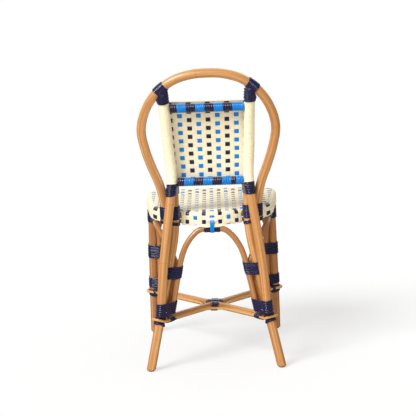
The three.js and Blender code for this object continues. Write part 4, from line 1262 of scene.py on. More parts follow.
def skin_place(point, outward, drop, lift):
    """Point on the skin's roll and apron, a drop beyond the ring's top, and the direction out of it there."""
    turn = np.clip(drop / SKIN_RADIUS, -0.25, math.pi / 2)
    normal = outward * math.sin(turn) + at(0, 0, math.cos(turn))
    below = max(0, drop - SKIN_RADIUS * math.pi / 2)
    return point + at(0, 0, RING_HEIGHT) + normal * (SKIN_RADIUS + lift) - at(0, 0, below), normal


def tail(point, outward, steep=1):
    """End of a strand of the seat's top, which goes down under the apron's."""
    return unzipped([skin_place(point, outward, drop * steep, -TAIL_SINK - drop * 0.05) for drop in TAIL_DROPS])


def weave_seat_top(stores, thickness):
    """The seat's strands from rear to front and from side to side, over its rounded edge."""
    columns = woven_columns(SEAT_BLUE_PLACE, SEAT_COLUMN / 4, SEAT_COLUMNS)
    section = strand_section(SEAT_COLUMN / 4 * WOVEN_FILL, thickness, 6, FLAT)
    for x, tint, over in columns:
        rear, front = edge_depth(x, True), edge_depth(x, False)
        if rear - front < SHORTEST_COLUMN:
            continue
        depths = np.linspace(rear, front, max(4, round((rear - front) / TOP_STEP)))
        lift = over * SEAT_LIFT * over_under(top_row(depths))
        if tint != "cream":
            lift = lift - TINTED_SINK * np.clip((rear - depths) / 0.02, 0, 1)
        line = np.stack([np.full(len(depths), x), depths, seat_top(x, depths) + lift], -1)
        out = np.tile(at(0, 0, 1), (len(depths), 1))
        ends = []
        for depth, way in ((rear, 1), (front, -1)):
            index = int(np.argmin(np.hypot(OUTLINE[:, 0] - x, OUTLINE[:, 1] - depth)))
            ends.append(tail(at(x, depth, 0), at(0, way, 0), max(0.35, abs(OUTWARD[index, 1]))))
        lay_strand(stores[tint], *carried_on(line, out, *ends), section)
    places, _, overs = unzipped(columns)
    narrow = strand_section(SEAT_TOP_GROUP / 4 * TOP_ROW_FILL, thickness, 6, FLAT)
    flip = np.array((-1.0, 1.0, 1.0))
    rear = SEAT_REAR_RADIUS + SEAT_CENTRE_DEPTH
    first = math.ceil(top_row(rear))
    for index in range(4 * math.ceil((rear - SEAT_FRONT_DEPTH) / SEAT_TOP_GROUP + 1)):
        row = first + index // 4
        depth = rear - (row + (index % 4 - 1.5) / 4 + SEAT_BLUE_DROP / SEAT_GROUP) * SEAT_TOP_GROUP
        if not SEAT_FRONT_DEPTH - 0.003 <= depth <= rear - 0.004:
            continue
        half = edge_span(depth)
        across = np.linspace(-half, half, max(4, round(2 * half / TOP_STEP)))
        lift = -SEAT_LIFT * np.interp(across, places, overs) * over_under(row)
        line = np.stack([across, np.full(len(across), depth), seat_top(across, depth) + lift], -1)
        out = np.tile(at(0, 0, 1), (len(across), 1))
        end = tail(at(half, depth, 0), at(1, 0, 0))
        lay_strand(stores["across"], *carried_on(line, out, [part * flip for part in end], end), narrow)


def notched(point):
    """Whether a point of the outline lies in the gap that a foot of the hoop passes through."""
    angle = math.degrees(math.atan2(point[1] - SEAT_CENTRE_DEPTH, abs(point[0])))
    return NOTCH_ANGLES[0] <= angle <= NOTCH_ANGLES[1]


def outline_at(distances, run):
    """Points of the seat's outline and the directions out of it, at distances along the apron's edge."""
    points, outward = (
        np.stack([np.interp(distances, run, values[:, axis]) for axis in range(3)], -1)
        for values in (OUTLINE, OUTWARD)
    )
    return points, outward / np.linalg.norm(outward, axis=1)[:, None]


def apron_columns():
    """Place, point, direction out, colour and over-under of each strand down the apron. Then the way round it."""
    edge = OUTLINE + OUTWARD * SKIN_RADIUS
    run = travel(np.vstack([edge, edge[:1]]))
    run, total = run[:-1], run[-1]
    count = round(total / (SEAT_COLUMN / 4) / 2) * 2
    places = (np.arange(count) + 0.5) * total / count
    columns = []
    for index, (here, point, out) in enumerate(zip(places, *outline_at(places, run))):
        if abs(out[1]) > 0.33:
            order = round((point[0] - SEAT_BLUE_PLACE) / (SEAT_COLUMN / 4) + 1.5) % len(TINTS)
            tint, over = TINTS[order], OVERS[order]
        else:
            tint, over = "cream", 1 if (index // 4) % 2 else -1
        columns.append((here, point, out, tint, over))
    return columns, total, run


def apron_column(point, out, over, bottom):
    """Strand down the apron and in under it, as far as a front leg leaves it room."""
    strand = []
    for drop in np.linspace(APRON_START, bottom, 15):
        ease = min(1, (drop - APRON_START) / 0.005)
        lift = over * SEAT_LIFT * float(over_under(apron_row(drop))) * ease - 0.0008 * (1 - ease)
        strand.append(skin_place(point, out, drop, lift))
    leg = at_height(FRONT_LEGS["left"], APRON_TUCK_HEIGHT) * (math.copysign(1, point[0]), 1, 1)
    for inward, rise in APRON_TUCKS:
        place = point + out * (SKIN_RADIUS - inward) + at(0, 0, APRON_TUCK_HEIGHT + rise)
        if np.linalg.norm((place - leg)[:2]) < LEG_KEEP_OUT:
            break
        strand.append((place, out * max(0, 1 - inward / 0.006) - at(0, 0, 1)))
    return unzipped(strand)


def weave_apron(stores, thickness):
    """The apron's strands down it and round it, with a gap for each foot of the hoop."""
    columns, total, run = apron_columns()
    section = strand_section(SEAT_COLUMN / 4 * WOVEN_FILL, thickness, 6, FLAT)
    bottom = SKIN_WAY - APRON_SHORTENING
    for _, point, out, tint, over in columns:
        if not notched(point):
            lay_strand(stores[tint], *apron_column(point, out, over, bottom), section)
    places = np.array([here for here, *_ in columns])
    overs = np.array([over for *_, over in columns])
    samples = np.arange(0, total, APRON_STEP)
    points, outs = outline_at(samples, run)
    crossed = np.interp(samples, places, overs, period=total)
    closed = [[*range(len(samples)), 0]]
    notched_runs = open_runs(np.array([notched(point) for point in points]))
    narrow = strand_section(SEAT_GROUP / 4 * WOVEN_FILL, thickness, 6, FLAT)
    for index in range(14):
        row = -1 + index // 4
        drop = SEAT_BLUE_DROP + (row + (index % 4 - 1.5) / 4) * SEAT_GROUP
        if drop > bottom:
            break
        lifts = -crossed * SEAT_LIFT * float(over_under(row))
        line, outward = unzipped([skin_place(point, out, drop, lift) for point, out, lift in zip(points, outs, lifts)])
        for kept in closed if drop < APRON_CLOSED_DROP else notched_runs:
            lay_strand(stores["round"], line[kept], outward[kept], narrow)


def hang_rows(store, thickness):
    """Cream strands that hang below the apron over the crown of the rear arch."""
    near = [
        place for place in np.argsort(OUTLINE[:, 0])
        if OUTWARD[place, 1] > 0.5 and abs(OUTLINE[place, 0]) < HANGING_HALF_WIDTH
    ]
    section = strand_section(HANGING_STRAND_WIDTH, thickness, 6, FLAT)
    for order in range(3):
        strand = []
        for place in near:
            ease = 1 - (OUTLINE[place, 0] / HANGING_HALF_WIDTH) ** 4
            drop = SKIN_WAY - HANGING_PITCH + (order * HANGING_PITCH - 0.0008) * ease
            lift = 0.0008 + (0.0026 + order * 0.0012) * ease
            strand.append(skin_place(OUTLINE[place], OUTWARD[place], drop, lift))
        lay_strand(store, *even_run(*unzipped(strand), APRON_STEP), section)


def tie_seat(store, thickness):
    """Blue strands that come down from the apron and go round the crown of the rear arch."""
    crown = REAR_ARCH[len(REAR_ARCH) // 2]
    edge = SEAT_REAR_RADIUS + SEAT_CENTRE_DEPTH + SKIN_RADIUS
    reach = ARCH_POLE / 2 + OVER_WRAP
    section = strand_section(TIE_STRAND_WIDTH, thickness * 1.2, 8)
    for order in range(4):
        x = SEAT_BLUE_PLACE + (order - 1.5) * TIE_PITCH
        points = [at(x, edge + off, height) for off, height in TIE_DOWN]
        for turn in np.radians(range(20, -201, -20)):
            points.append(crown * (0, 1, 1) + at(x, reach * math.cos(turn), reach * math.sin(turn)))
        points += [at(x, crown[1] - reach - 0.001, height) for height in TIE_ENDS]
        line = spaced(bent_line(points, 8), TIE_STEP)
        facing = headings(line)
        outward = np.stack([np.zeros(len(line)), -facing[:, 2], facing[:, 1]], -1)
        lay_strand(store, line, outward, section)


# ---------------------------------------------------------------- operators


class CHAIR_OT_hoop(bpy.types.Operator):
    """Bend the one long pole of the hooped back"""

    bl_idname = "chair.hoop"
    bl_label = "Hoop"

    def execute(self, context):
        poles = context.scene.chair_poles
        piece = bend_pole("hoop_pole", HOOP, poles.frame_pole, facets=24)
        finished(piece, "rattan", "rattan", "hoop")
        return {"FINISHED"}


class CHAIR_OT_posts(bpy.types.Operator):
    """Bend the rear posts, which run from the hoop past the seat to the rear legs"""

    bl_idname = "chair.posts"
    bl_label = "Rear posts"

    def execute(self, context):
        poles = context.scene.chair_poles
        for name, _ in SIDES:
            line = POSTS[name]
            line = along(line, np.linspace(0, travel(line)[-1] - POST_SHORTENING, 300))
            piece = bend_pole(f"rear_post_{name}_pole", line, poles.frame_pole, 24)
            finished(piece, "rattan", "rattan", f"rear_post_{name}")
        return {"FINISHED"}


def rail_line(height):
    return np.linspace(at_height(POSTS["right"], height), at_height(POSTS["left"], height), 60)


class CHAIR_OT_rails(bpy.types.Operator):
    """Fit the two rails between the wound posts"""

    bl_idname = "chair.rails"
    bl_label = "Back rails"

    def execute(self, context):
        poles = context.scene.chair_poles
        for name, height, *_ in RAIL_BANDS:
            line = shortened(rail_line(height), WOUND_POST / 2, 40)
            piece = bend_pole(f"back_rail_{name}_pole", line, poles.rail_pole)
            finished(piece, "rattan", "rattan", f"back_rail_{name}")
        return {"FINISHED"}


class CHAIR_OT_legs(bpy.types.Operator):
    """Bend the four legs and trim their feet level"""

    bl_idname = "chair.legs"
    bl_label = "Legs"

    def execute(self, context):
        poles = context.scene.chair_poles
        for end, lines in (("rear", REAR_LEGS), ("front", FRONT_LEGS)):
            for name, _ in SIDES:
                piece = bend_pole(f"{end}_leg_{name}_pole", lines[name], poles.frame_pole, 24)
                trim_foot(piece)
                # The front legs take the darker, browner rattan, which is partly painted shade.
                finished(piece, "rattan" if end == "rear" else "brown_and_shaded_rattan", "rattan", f"{end}_leg_{name}")
        return {"FINISHED"}


def trim_foot(piece):
    """Cuts a leg level just above its glide, and closes and eases the cut."""
    only(piece)
    bpy.ops.object.mode_set(mode="EDIT")
    bpy.ops.mesh.select_all(action="SELECT")
    bpy.ops.mesh.bisect(plane_co=(0, 0, FOOT_CUT), plane_no=(0, 0, 1), clear_inner=True, use_fill=True)
    bpy.ops.object.mode_set(mode="OBJECT")
    made = bmesh.new()
    made.from_mesh(piece.data)
    bottom = [edge for edge in made.edges if all(v.co.z < FOOT_CUT + 0.00001 for v in edge.verts)]
    bmesh.ops.bevel(made, geom=bottom, offset=FOOT_EASING, segments=2, affect="EDGES", profile=0.5)
    made.to_mesh(piece.data)
    made.free()


class CHAIR_OT_glides(bpy.types.Operator):
    """Turn the four glides under the feet"""

    bl_idname = "chair.glides"
    bl_label = "Glides"

    def execute(self, context):
        for end in ("rear", "front"):
            for name, _ in SIDES:
                node = f"foot_glide_{end}_{name}"
                low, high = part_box(node)
                middle = (low + high) / 2
                bpy.ops.object.select_all(action="DESELECT")
                bpy.ops.mesh.primitive_cylinder_add(
                    vertices=40, radius=(high.x - low.x) / 2, depth=high.z - low.z, location=middle
                )
                piece = context.object
                piece.name = f"glide_{end}_{name}"
                bpy.ops.object.transform_apply(location=True, rotation=True, scale=True)
                bevelled(piece, FOOT_EASING, 3)
                bpy.ops.object.shade_smooth_by_angle(angle=math.radians(35))
                finished(piece, "glide", "glide", node)
        return {"FINISHED"}


class CHAIR_OT_seat_frame(bpy.types.Operator):
    """Bend the seat's ring, its rim and the brace across it"""

    bl_idname = "chair.seat_frame"
    bl_label = "Seat frame"

    def execute(self, context):
        poles = context.scene.chair_poles
        ring = bend_pole("seat_ring_pole", OUTLINE + at(0, 0, RING_HEIGHT), poles.ring_pole, 16, closed=True)
        finished(ring, "rattan", "rattan", "seat_ring")
        rim_line = OUTLINE + OUTWARD * RIM_OFFSET + at(0, 0, RIM_HEIGHT)
        leg = at_height(FRONT_LEGS["left"], RIM_HEIGHT)
        clear = poles.frame_pole / 2 + FIT_GAP + RIM_ROOM
        off_legs = [np.linalg.norm(rim_line - leg * (sign, 1, 1), axis=1) for _, sign in SIDES]
        for run in open_runs(np.minimum(*off_legs) < clear):
            part = rim_line[run]
            name = "rear" if part[:, 1].max() > 0.1 else "front"
            piece = bend_pole(f"seat_rim_{name}_pole", part, poles.rim_pole, 14)
            finished(piece, "rattan", "rattan", f"seat_rim_{name}")
        low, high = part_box("seat_brace")
        brace = np.linspace(at(low.x, BRACE_DEPTH, BRACE_HEIGHT), at(high.x, BRACE_DEPTH, BRACE_HEIGHT), 30)
        finished(bend_pole("seat_brace_pole", brace, poles.brace_pole, 16), "rattan", "rattan", "seat_brace")
        return {"FINISHED"}


class CHAIR_OT_arches(bpy.types.Operator):
    """Bend the four arches between the legs"""

    bl_idname = "chair.arches"
    bl_label = "Arches"

    def execute(self, context):
        poles = context.scene.chair_poles
        for name, line in ARCHES.items():
            piece = bend_pole(f"arch_{name}_pole", line, poles.arch_pole, 18)
            # The arches take the darker, browner rattan, which is partly painted shade.
            finished(piece, "brown_and_shaded_rattan", "rattan", f"arch_{name}")
        return {"FINISHED"}


def stretcher_seat(leg):
    level = at_height(leg, STRETCHER_HEIGHT)
    return at_height(leg, STRETCHER_HEIGHT + STRETCHER_RISE * level[1])


LEGS = {
    "rear_left": REAR_LEGS["left"],
    "rear_right": REAR_LEGS["right"],
    "front_right": FRONT_LEGS["right"],
    "front_left": FRONT_LEGS["left"],
}
CORNERS = {name: stretcher_seat(leg) for name, leg in LEGS.items()}


def stretcher_crossing():
    rear, front = CORNERS["rear_left"], CORNERS["front_right"]
    return mix(rear, front, rear[0] / (rear[0] - front[0]))


CROSSING = stretcher_crossing()


def cut_by(piece, cutter):
    """Takes a cutter's shape out of a piece."""
    only(piece)
    cut = piece.modifiers.new("cut", "BOOLEAN")
    cut.operation = "DIFFERENCE"
    cut.solver = "EXACT"
    cut.object = cutter
    bpy.ops.object.modifier_apply(modifier="cut")


def removed(piece):
    mesh = piece.data
    bpy.data.objects.remove(piece)
    bpy.data.meshes.remove(mesh)


def lap_block(direction, above, diameter):
    """Block that takes half of a pole away where the other one crosses it."""
    shift = (diameter - FIT_GAP) / 2 * (1 if above else -1)
    centre = CROSSING + at(0, DEPTH_SHIFT, shift)
    bpy.ops.object.select_all(action="DESELECT")
    bpy.ops.mesh.primitive_cube_add(size=1, location=centre, rotation=(0, 0, math.atan2(direction[1], direction[0])))
    block = bpy.context.object
    block.scale = (4 * diameter, diameter + 2 * FIT_GAP, diameter)
    bpy.ops.object.transform_apply(location=True, rotation=True, scale=True)
    return block


class CHAIR_OT_stretcher(bpy.types.Operator):
    """Lay the crossed poles and the thin canes that run beside them round the legs"""

    bl_idname = "chair.stretcher"
    bl_label = "Stretcher"

    def execute(self, context):
        poles = context.scene.chair_poles
        diameter = poles.stretcher_pole
        pairs = (("rear_left", "front_right"), ("rear_right", "front_left"))
        reach = (poles.frame_pole / 2 + FIT_GAP) * 1.02
        for (start, end), (other_start, other_end), above in zip(pairs, pairs[::-1], (True, False)):
            line = shortened(np.linspace(CORNERS[start], CORNERS[end], 80), reach, 80)
            piece = bend_pole(f"stretcher_{start}_pole", line, diameter)
            block = lap_block(CORNERS[other_end] - CORNERS[other_start], above, diameter)
            cut_by(piece, block)
            removed(block)
            finished(piece, "rattan", "rattan", f"stretcher_pole_{start}")
        names = (("rear", "rear_left", "rear_right"), ("right", "rear_right", "front_right"),
                 ("front", "front_right", "front_left"), ("left", "front_left", "rear_left"))
        for name, start, end in names:
            piece = bend_pole(f"stretcher_cane_{name}_bent", cane_line(start, end, poles), poles.stretcher_cane, 12)
            finished(piece, "cane", "cane", f"stretcher_cane_{name}")
        return {"FINISHED"}


def cane_line(start_name, end_name, poles):
    """Cane between two legs: along one pole, round the corner by the crossing, and hooked round the next leg."""

    def arm(corner):
        return unit((CORNERS[corner] - CROSSING) * (1, 1, 0))

    start, end = arm(start_name), arm(end_name)
    start_side = at(-start[1], start[0], 0)
    end_side = at(end[1], -end[0], 0)
    beside = (poles.stretcher_pole + poles.stretcher_cane) / 2 + FIT_GAP
    round_leg = (poles.frame_pole / 2 + poles.stretcher_cane / 2 + CANE_LEG_ROOM) / math.cos(math.pi / 12)
    half = math.acos(float(start @ end)) / 2
    tangent = CANE_CORNER_RADIUS / math.tan(half)
    meet = CROSSING + start_side * beside + start * beside / math.tan(half)
    hub = meet + start * tangent + start_side * CANE_CORNER_RADIUS
    lift = REAR_LOOP_RISE if end_name.startswith("rear") else 0

    def level(point):
        return at(point[0], point[1], STRETCHER_HEIGHT + STRETCHER_RISE * point[1])

    points = [level(CORNERS[start_name] - start * CANE_TAIL + start_side * beside)]
    points.append(level(meet + start * (tangent + CANE_CORNER_RADIUS)))
    for share in (0, 0.25, 0.5, 0.75, 1):
        points.append(level(hub - unit(mix(start_side, end_side, share)) * CANE_CORNER_RADIUS))
    points.append(level(meet + end * (tangent + CANE_CORNER_RADIUS)))
    points.append(level(CORNERS[end_name] - end * CANE_TAIL + end_side * beside))
    for angle in range(-90, 91, 30):
        turn = math.radians(angle)
        place = level(CORNERS[end_name] + end * round_leg * math.cos(turn) - end_side * round_leg * math.sin(turn))
        points.append(place + at(0, 0, lift * math.cos(turn)))
    points.append(level(CORNERS[end_name] + end * (2 * FIT_GAP - CANE_TAIL) - end_side * beside))
    return bent_line(points)


# Each rail's winding: its height, the way in which it turns, and the turns in each band from the left, navy first
RAIL_BANDS = (
    ("bottom", BOTTOM_RAIL, -1, (3, 4, 4, 4, 4, 4, 2, 3)),
    ("top", TOP_RAIL, 1, (3, 4, 4, 4, 4, 4, 4, 5)),
)


class CHAIR_OT_rail_windings(bpy.types.Operator):
    """Wind the rails in bands of navy and blue"""

    bl_idname = "chair.rail_windings"
    bl_label = "Rail windings"

    def execute(self, context):
        poles = context.scene.chair_poles
        strands = context.scene.chair_strands
        width, thickness = strands.rail_strand_width, strands.lashing_thickness
        radius = poles.rail_pole / 2 + FIT_GAP + thickness / 2
        section = strand_section(width * STRAND_FILL, thickness, 10, ROUNDED)
        for name, height, turning, counts in RAIL_BANDS:
            line = rail_line(height)
            span = travel(line)[-1] - WOUND_POST + RAIL_WINDING_RUN_ON
            pitch = span / sum(counts)
            path, outward, turn = pole_winding_line(line, 0.5, span, pitch, radius, 28, turning)
            bands = strand_stores("navy", "blue")
            edges = sum(counts) - np.cumsum((0, *counts))
            for index, (high, low) in enumerate(zip(edges, edges[1:])):
                kept = (turn >= low - BAND_OVERLAP) & (turn <= high + BAND_OVERLAP)
                part = tuck(path[kept], outward[kept], turn[kept], BAND_TUCK_DEPTH)
                lay_strand(bands["blue" if index % 2 else "navy"], part, outward[kept], section)
            finish_stores(f"rail_winding_{name}", bands, f"rail_winding_{name}")
        return {"FINISHED"}


class CHAIR_OT_post_windings(bpy.types.Operator):
    """Wind the upper posts in the cream strand, turn by turn"""

    bl_idname = "chair.post_windings"
    bl_label = "Post windings"

    def execute(self, context):
        poles = context.scene.chair_poles
        strands = context.scene.chair_strands
        strand = (strands.post_strand_width, strands.post_strand_thickness)
        for name, _ in SIDES:
            line = POSTS[name]
            run = travel(line)
            low, high = np.interp(POST_WINDING_HEIGHTS, line[:, 2], run)
            wind(f"post_winding_{name}_strand", line, (low + high) / 2 / run[-1], high - low, poles.frame_pole,
                 strand, "cream_strand", f"post_winding_{name}", 26, ROUND)
        return {"FINISHED"}


class CHAIR_OT_back_weave(bpy.types.Operator):
    """Weave the panel of the back between the posts"""

    bl_idname = "chair.back_weave"
    bl_label = "Back weave"

    def execute(self, context):
        stores = strand_stores("cream", "navy", "blue", "across")
        weave_back(stores, context.scene.chair_strands.weave_thickness)
        finish_stores("back_weave", stores, "back_weave")
        return {"FINISHED"}


class CHAIR_OT_seat_weave(bpy.types.Operator):
    """Weave the seat: its top, the apron round it and the tie to the rear arch"""

    bl_idname = "chair.seat_weave"
    bl_label = "Seat weave"

    def execute(self, context):
        thickness = context.scene.chair_strands.weave_thickness
        top = strand_stores("cream", "navy", "blue", "across")
        weave_seat_top(top, thickness)
        apron = strand_stores("cream", "navy", "blue", "round")
        weave_apron(apron, thickness)
        hang_rows(apron["round"], thickness)
        tie_seat(apron["blue"], thickness)
        finish_stores("seat_weave", top, "seat_weave")
        finish_stores("seat_apron", apron, "seat_weave")
        return {"FINISHED"}


class CHAIR_OT_plate(bpy.types.Operator):
    """Fit the bare plate on the rear of the seat"""

    bl_idname = "chair.plate"
    bl_label = "Plate"

    def execute(self, context):
        bpy.ops.object.select_all(action="DESELECT")
        bpy.ops.mesh.primitive_cube_add(size=1)
        piece = context.object
        piece.name = "bare_plate"
        piece.scale = PLATE_SIZE
        bpy.ops.object.transform_apply(location=False, rotation=False, scale=True)
        weights = piece.data.attributes.new("bevel_weight_edge", "FLOAT", "EDGE")
        for edge in piece.data.edges:
            start, end = (piece.data.vertices[index].co.y for index in edge.vertices)
            weights.data[edge.index].value = 1.0 if abs(start - end) > PLATE_SIZE[1] / 2 else 0.0
        bevelled(piece, PLATE_CORNER, 8, "WEIGHT")
        bevelled(piece, PLATE_EDGE, 2)
        only(piece)
        bpy.ops.object.mode_set(mode="EDIT")
        for step in range(-7, 8):
            bpy.ops.mesh.select_all(action="SELECT")
            bpy.ops.mesh.bisect(plane_co=(step * PLATE_STRIP, 0, 0), plane_no=(1, 0, 0))
        bpy.ops.object.mode_set(mode="OBJECT")
        radius = SEAT_REAR_RADIUS + SKIN_RADIUS + SEAT_LIFT + PLATE_CLEARANCE
        centre = at(0, SEAT_CENTRE_DEPTH + DEPTH_SHIFT, PLATE_HEIGHT)
        for vertex in piece.data.vertices:
            x, y, z = vertex.co
            turn = (x - PLATE_PLACE) / radius
            vertex.co = centre + at((radius + y) * math.sin(turn), (radius + y) * math.cos(turn), z)
        bpy.ops.object.shade_smooth_by_angle(angle=math.radians(30))
        finished(piece, "plate", "glide", "seat_weave")
        return {"FINISHED"}


class CHAIR_OT_back_lashings(bpy.types.Operator):
    """Lash the back: at the posts' tops, on the hoop, at the legs' tops and at the seat's rear corners"""

    bl_idname = "chair.back_lashings"
    bl_label = "Back lashings"

    def execute(self, context):
        poles = context.scene.chair_poles
        strands = context.scene.chair_strands
        strand = (strands.lashing_width, strands.lashing_thickness)
        pole = poles.frame_pole
        for name, sign in SIDES:
            post, leg, foot = (POSTS[name], pole), (REAR_LEGS[name], pole), (HOOP_SIDES[name], pole)
            inward, outward = (math.pi, 0.0) if sign > 0 else (0.0, math.pi)
            node = f"post_top_binding_{name}"
            lash(f"post_top_lashing_{name}", [post], *POST_TOP_LASHING, node, lean=TURN_LEAN)
            lash(f"post_top_fan_{name}", [post], *POST_TOP_FAN, node, tilt=FAN_TILT, lifted=inward, growing=True,
                 lean=TURN_LEAN, over=FAN_ROOM)
            node = f"post_binding_{name}"
            lash(f"post_lashing_{name}", [post, leg], *POST_LASHING, node)
            heights = np.linspace(0.52, 0.58, 25)
            for step, share in enumerate(SHOULDER_SHARES):
                drawn = mix(at_height(leg[0], heights), at_height(post[0], heights), share)
                drawn[:, 2] = heights
                low = SHOULDER_START + SHOULDER_STEP * step
                lash(f"post_shoulder_{name}_{step + 1}", [post, (drawn, pole)], low, SHOULDER_SPAN, node)
            node = f"seat_corner_binding_{name}"
            lash(f"seat_corner_lashing_{name}", [foot, leg], *SEAT_CORNER_LASHING, node)
            lash(f"seat_corner_band_{name}", [foot, leg], *SEAT_CORNER_BAND, node, tilt=BAND_TILT, lifted=outward)
            self.corner_strand(name, sign, strands, node)
            side = HOOP_SIDES[name]
            drop, onward, span = HOOP_LASHINGS[name]
            place = float(np.interp(HOOP_TOP - drop, side[:, 2], travel(side))) + onward
            share = place / travel(side)[-1] / 2
            wind(f"hoop_lashing_{name}", HOOP, share if sign > 0 else 1 - share, span, pole, strand,
                 "navy_strand", f"hoop_binding_{name}", 40)
        return {"FINISHED"}

    def corner_strand(self, name, sign, strands, node):
        """Upright strand beside the hoop's foot, from the corner lashing down to its lower band."""
        mirror = at(sign, 1, 1)
        line = at_height(HOOP_SIDES[name], np.linspace(*CORNER_STRAND_HEIGHTS, 9)) + CORNER_STRAND_PLACE * mirror
        outward = np.tile(CORNER_STRAND_FACING * mirror, (len(line), 1))
        section = strand_section(strands.lashing_width, strands.lashing_thickness)
        strand_piece(f"seat_corner_strand_{name}", "navy_strand", node, section, (line, outward))


class CHAIR_OT_leg_lashings(bpy.types.Operator):
    """Lash the arches, the posts and the legs together"""

    bl_idname = "chair.leg_lashings"
    bl_label = "Leg lashings"

    def execute(self, context):
        poles = context.scene.chair_poles
        pole, arch = poles.frame_pole, poles.arch_pole
        for name, sign in SIDES:
            rear_limb = (upright_side(REAR_ARCH, sign), arch)
            front_limb = (upright_side(FRONT_ARCH, sign), arch)
            side = SIDE_ARCHES[name]
            side_rear, side_front = (upright_side(side, 1), arch), (upright_side(side, -1), arch)
            leg, post, front = (REAR_LEGS[name], pole), (POSTS[name], pole), (FRONT_LEGS[name], pole)
            lashings = (
                ("leg", "rear", [leg, post, rear_limb, side_rear], REAR_LEG_LASHING),
                ("arch", "rear", [leg, rear_limb, side_rear], REAR_ARCH_LASHINGS[name]),
                ("leg_top", "front", [front], FRONT_LEG_TOP_LASHING),
                ("arch", "front", [front, front_limb, side_front], FRONT_ARCH_LASHINGS[name]),
                ("leg", "front", [front, front_limb, side_front], FRONT_LEG_LASHING),
            )
            for part, end, members, (low, span) in lashings:
                lash(f"{part}_lashing_{end}_{name}", members, low, span, f"{part}_binding_{end}_{name}")
        return {"FINISHED"}


class CHAIR_OT_stretcher_lashings(bpy.types.Operator):
    """Lash the stretcher to the legs and at its crossing"""

    bl_idname = "chair.stretcher_lashings"
    bl_label = "Stretcher lashings"

    def execute(self, context):
        poles = context.scene.chair_poles
        strands = context.scene.chair_strands
        strand = (strands.lashing_width, strands.lashing_thickness)
        for corner, place in CORNERS.items():
            lifted = math.atan2(place[1] - CROSSING[1], place[0] - CROSSING[0])
            end = corner.split("_")[0]
            node = f"stretcher_binding_{corner}"
            leg = [(LEGS[corner], poles.frame_pole)]
            low, top, tilt = STRETCHER_LASHINGS[end]
            lash(f"stretcher_lashing_{corner}", leg, low, STRETCHER_LASHING_SPAN, node, tilt=tilt, lifted=lifted)
            span = top - low - COLLAR_SHORTENING
            lash(f"stretcher_collar_{corner}", leg, low + COLLAR_RISE, span, node, over=-LASHING_ROOM)
            line = self.pole_end_lashing(poles, strand, place, *POLE_END_LASHINGS[end])
            strand_piece(f"pole_end_lashing_{corner}", "navy_strand", node, strand_section(*strand), line)
        lines = self.crossing_lashing(poles.stretcher_pole, strand)
        node = "stretcher_binding_centre"
        strand_piece("crossing_lashing", "navy_strand", node, strand_section(*strand), *lines)
        return {"FINISHED"}

    def pole_end_lashing(self, poles, strand, place, turns, first, last):
        """Strand round a pole's end and the two canes beside it, close to the leg."""
        inward = unit(CROSSING - place)
        side = unit(np.cross(inward, at(0, 0, 1)))
        above = np.cross(side, inward)
        apart = (poles.stretcher_pole + poles.stretcher_cane) / 2 + FIT_GAP
        pole, cane = poles.stretcher_pole / 2, poles.stretcher_cane / 2
        clearance = FIT_GAP + strand[1] / 2
        points = []
        for share, angle in turns_of(turns, 40):
            out = side * math.cos(angle) + above * math.sin(angle)
            members = ((0.0, pole), (apart, cane), (-apart, cane))
            offset, radius = max(members, key=lambda member: member[0] * math.cos(angle) + member[1])
            middle = place + inward * mix(first, last, share) + side * offset
            points.append((middle + out * (radius + clearance), out))
        return even_run(*unzipped(points))

    def crossing_lashing(self, diameter, strand):
        """Strands round the crossing: two bands that lie square to each other between the poles."""
        width, thickness = strand
        corner = diameter / 4
        opening = unit((CORNERS["rear_left"] - CROSSING) * (1, 1, 0))
        lines = []
        for run, half_width, over in CROSSING_BANDS:
            half_reach = (diameter / 2 + half_width * opening[run]) / opening[1 - run] + FIT_GAP - corner
            half_height = diameter / 2 + FIT_GAP - corner + over
            points = []
            for share, angle in turns_of(4, 48):
                level, up = math.cos(angle), math.sin(angle)
                reach = math.copysign(half_reach, level) + (corner + thickness / 2) * level
                height = math.copysign(half_height, up) + (corner + thickness / 2) * up
                across = mix(-half_width + width / 2, half_width - width / 2, share)
                spot = at(across, reach, height) if run else at(reach, across, height)
                points.append((CROSSING + spot, at(0, level, up) if run else at(level, 0, up)))
            lines.append(even_run(*unzipped(points)))
        return lines


class CHAIR_OT_arch_lashings(bpy.types.Operator):
    """Wind the crowns of the arches"""

    bl_idname = "chair.arch_lashings"
    bl_label = "Arch crown lashings"

    def execute(self, context):
        poles = context.scene.chair_poles
        strands = context.scene.chair_strands
        strand = (strands.lashing_width, strands.lashing_thickness)
        for name, line in ARCHES.items():
            wind(f"arch_crown_lashing_{name}", line, 0.5, ARCH_CROWN_SPAN, poles.arch_pole, strand,
                 "navy_strand", f"arch_top_binding_{name}", 32)
        return {"FINISHED"}


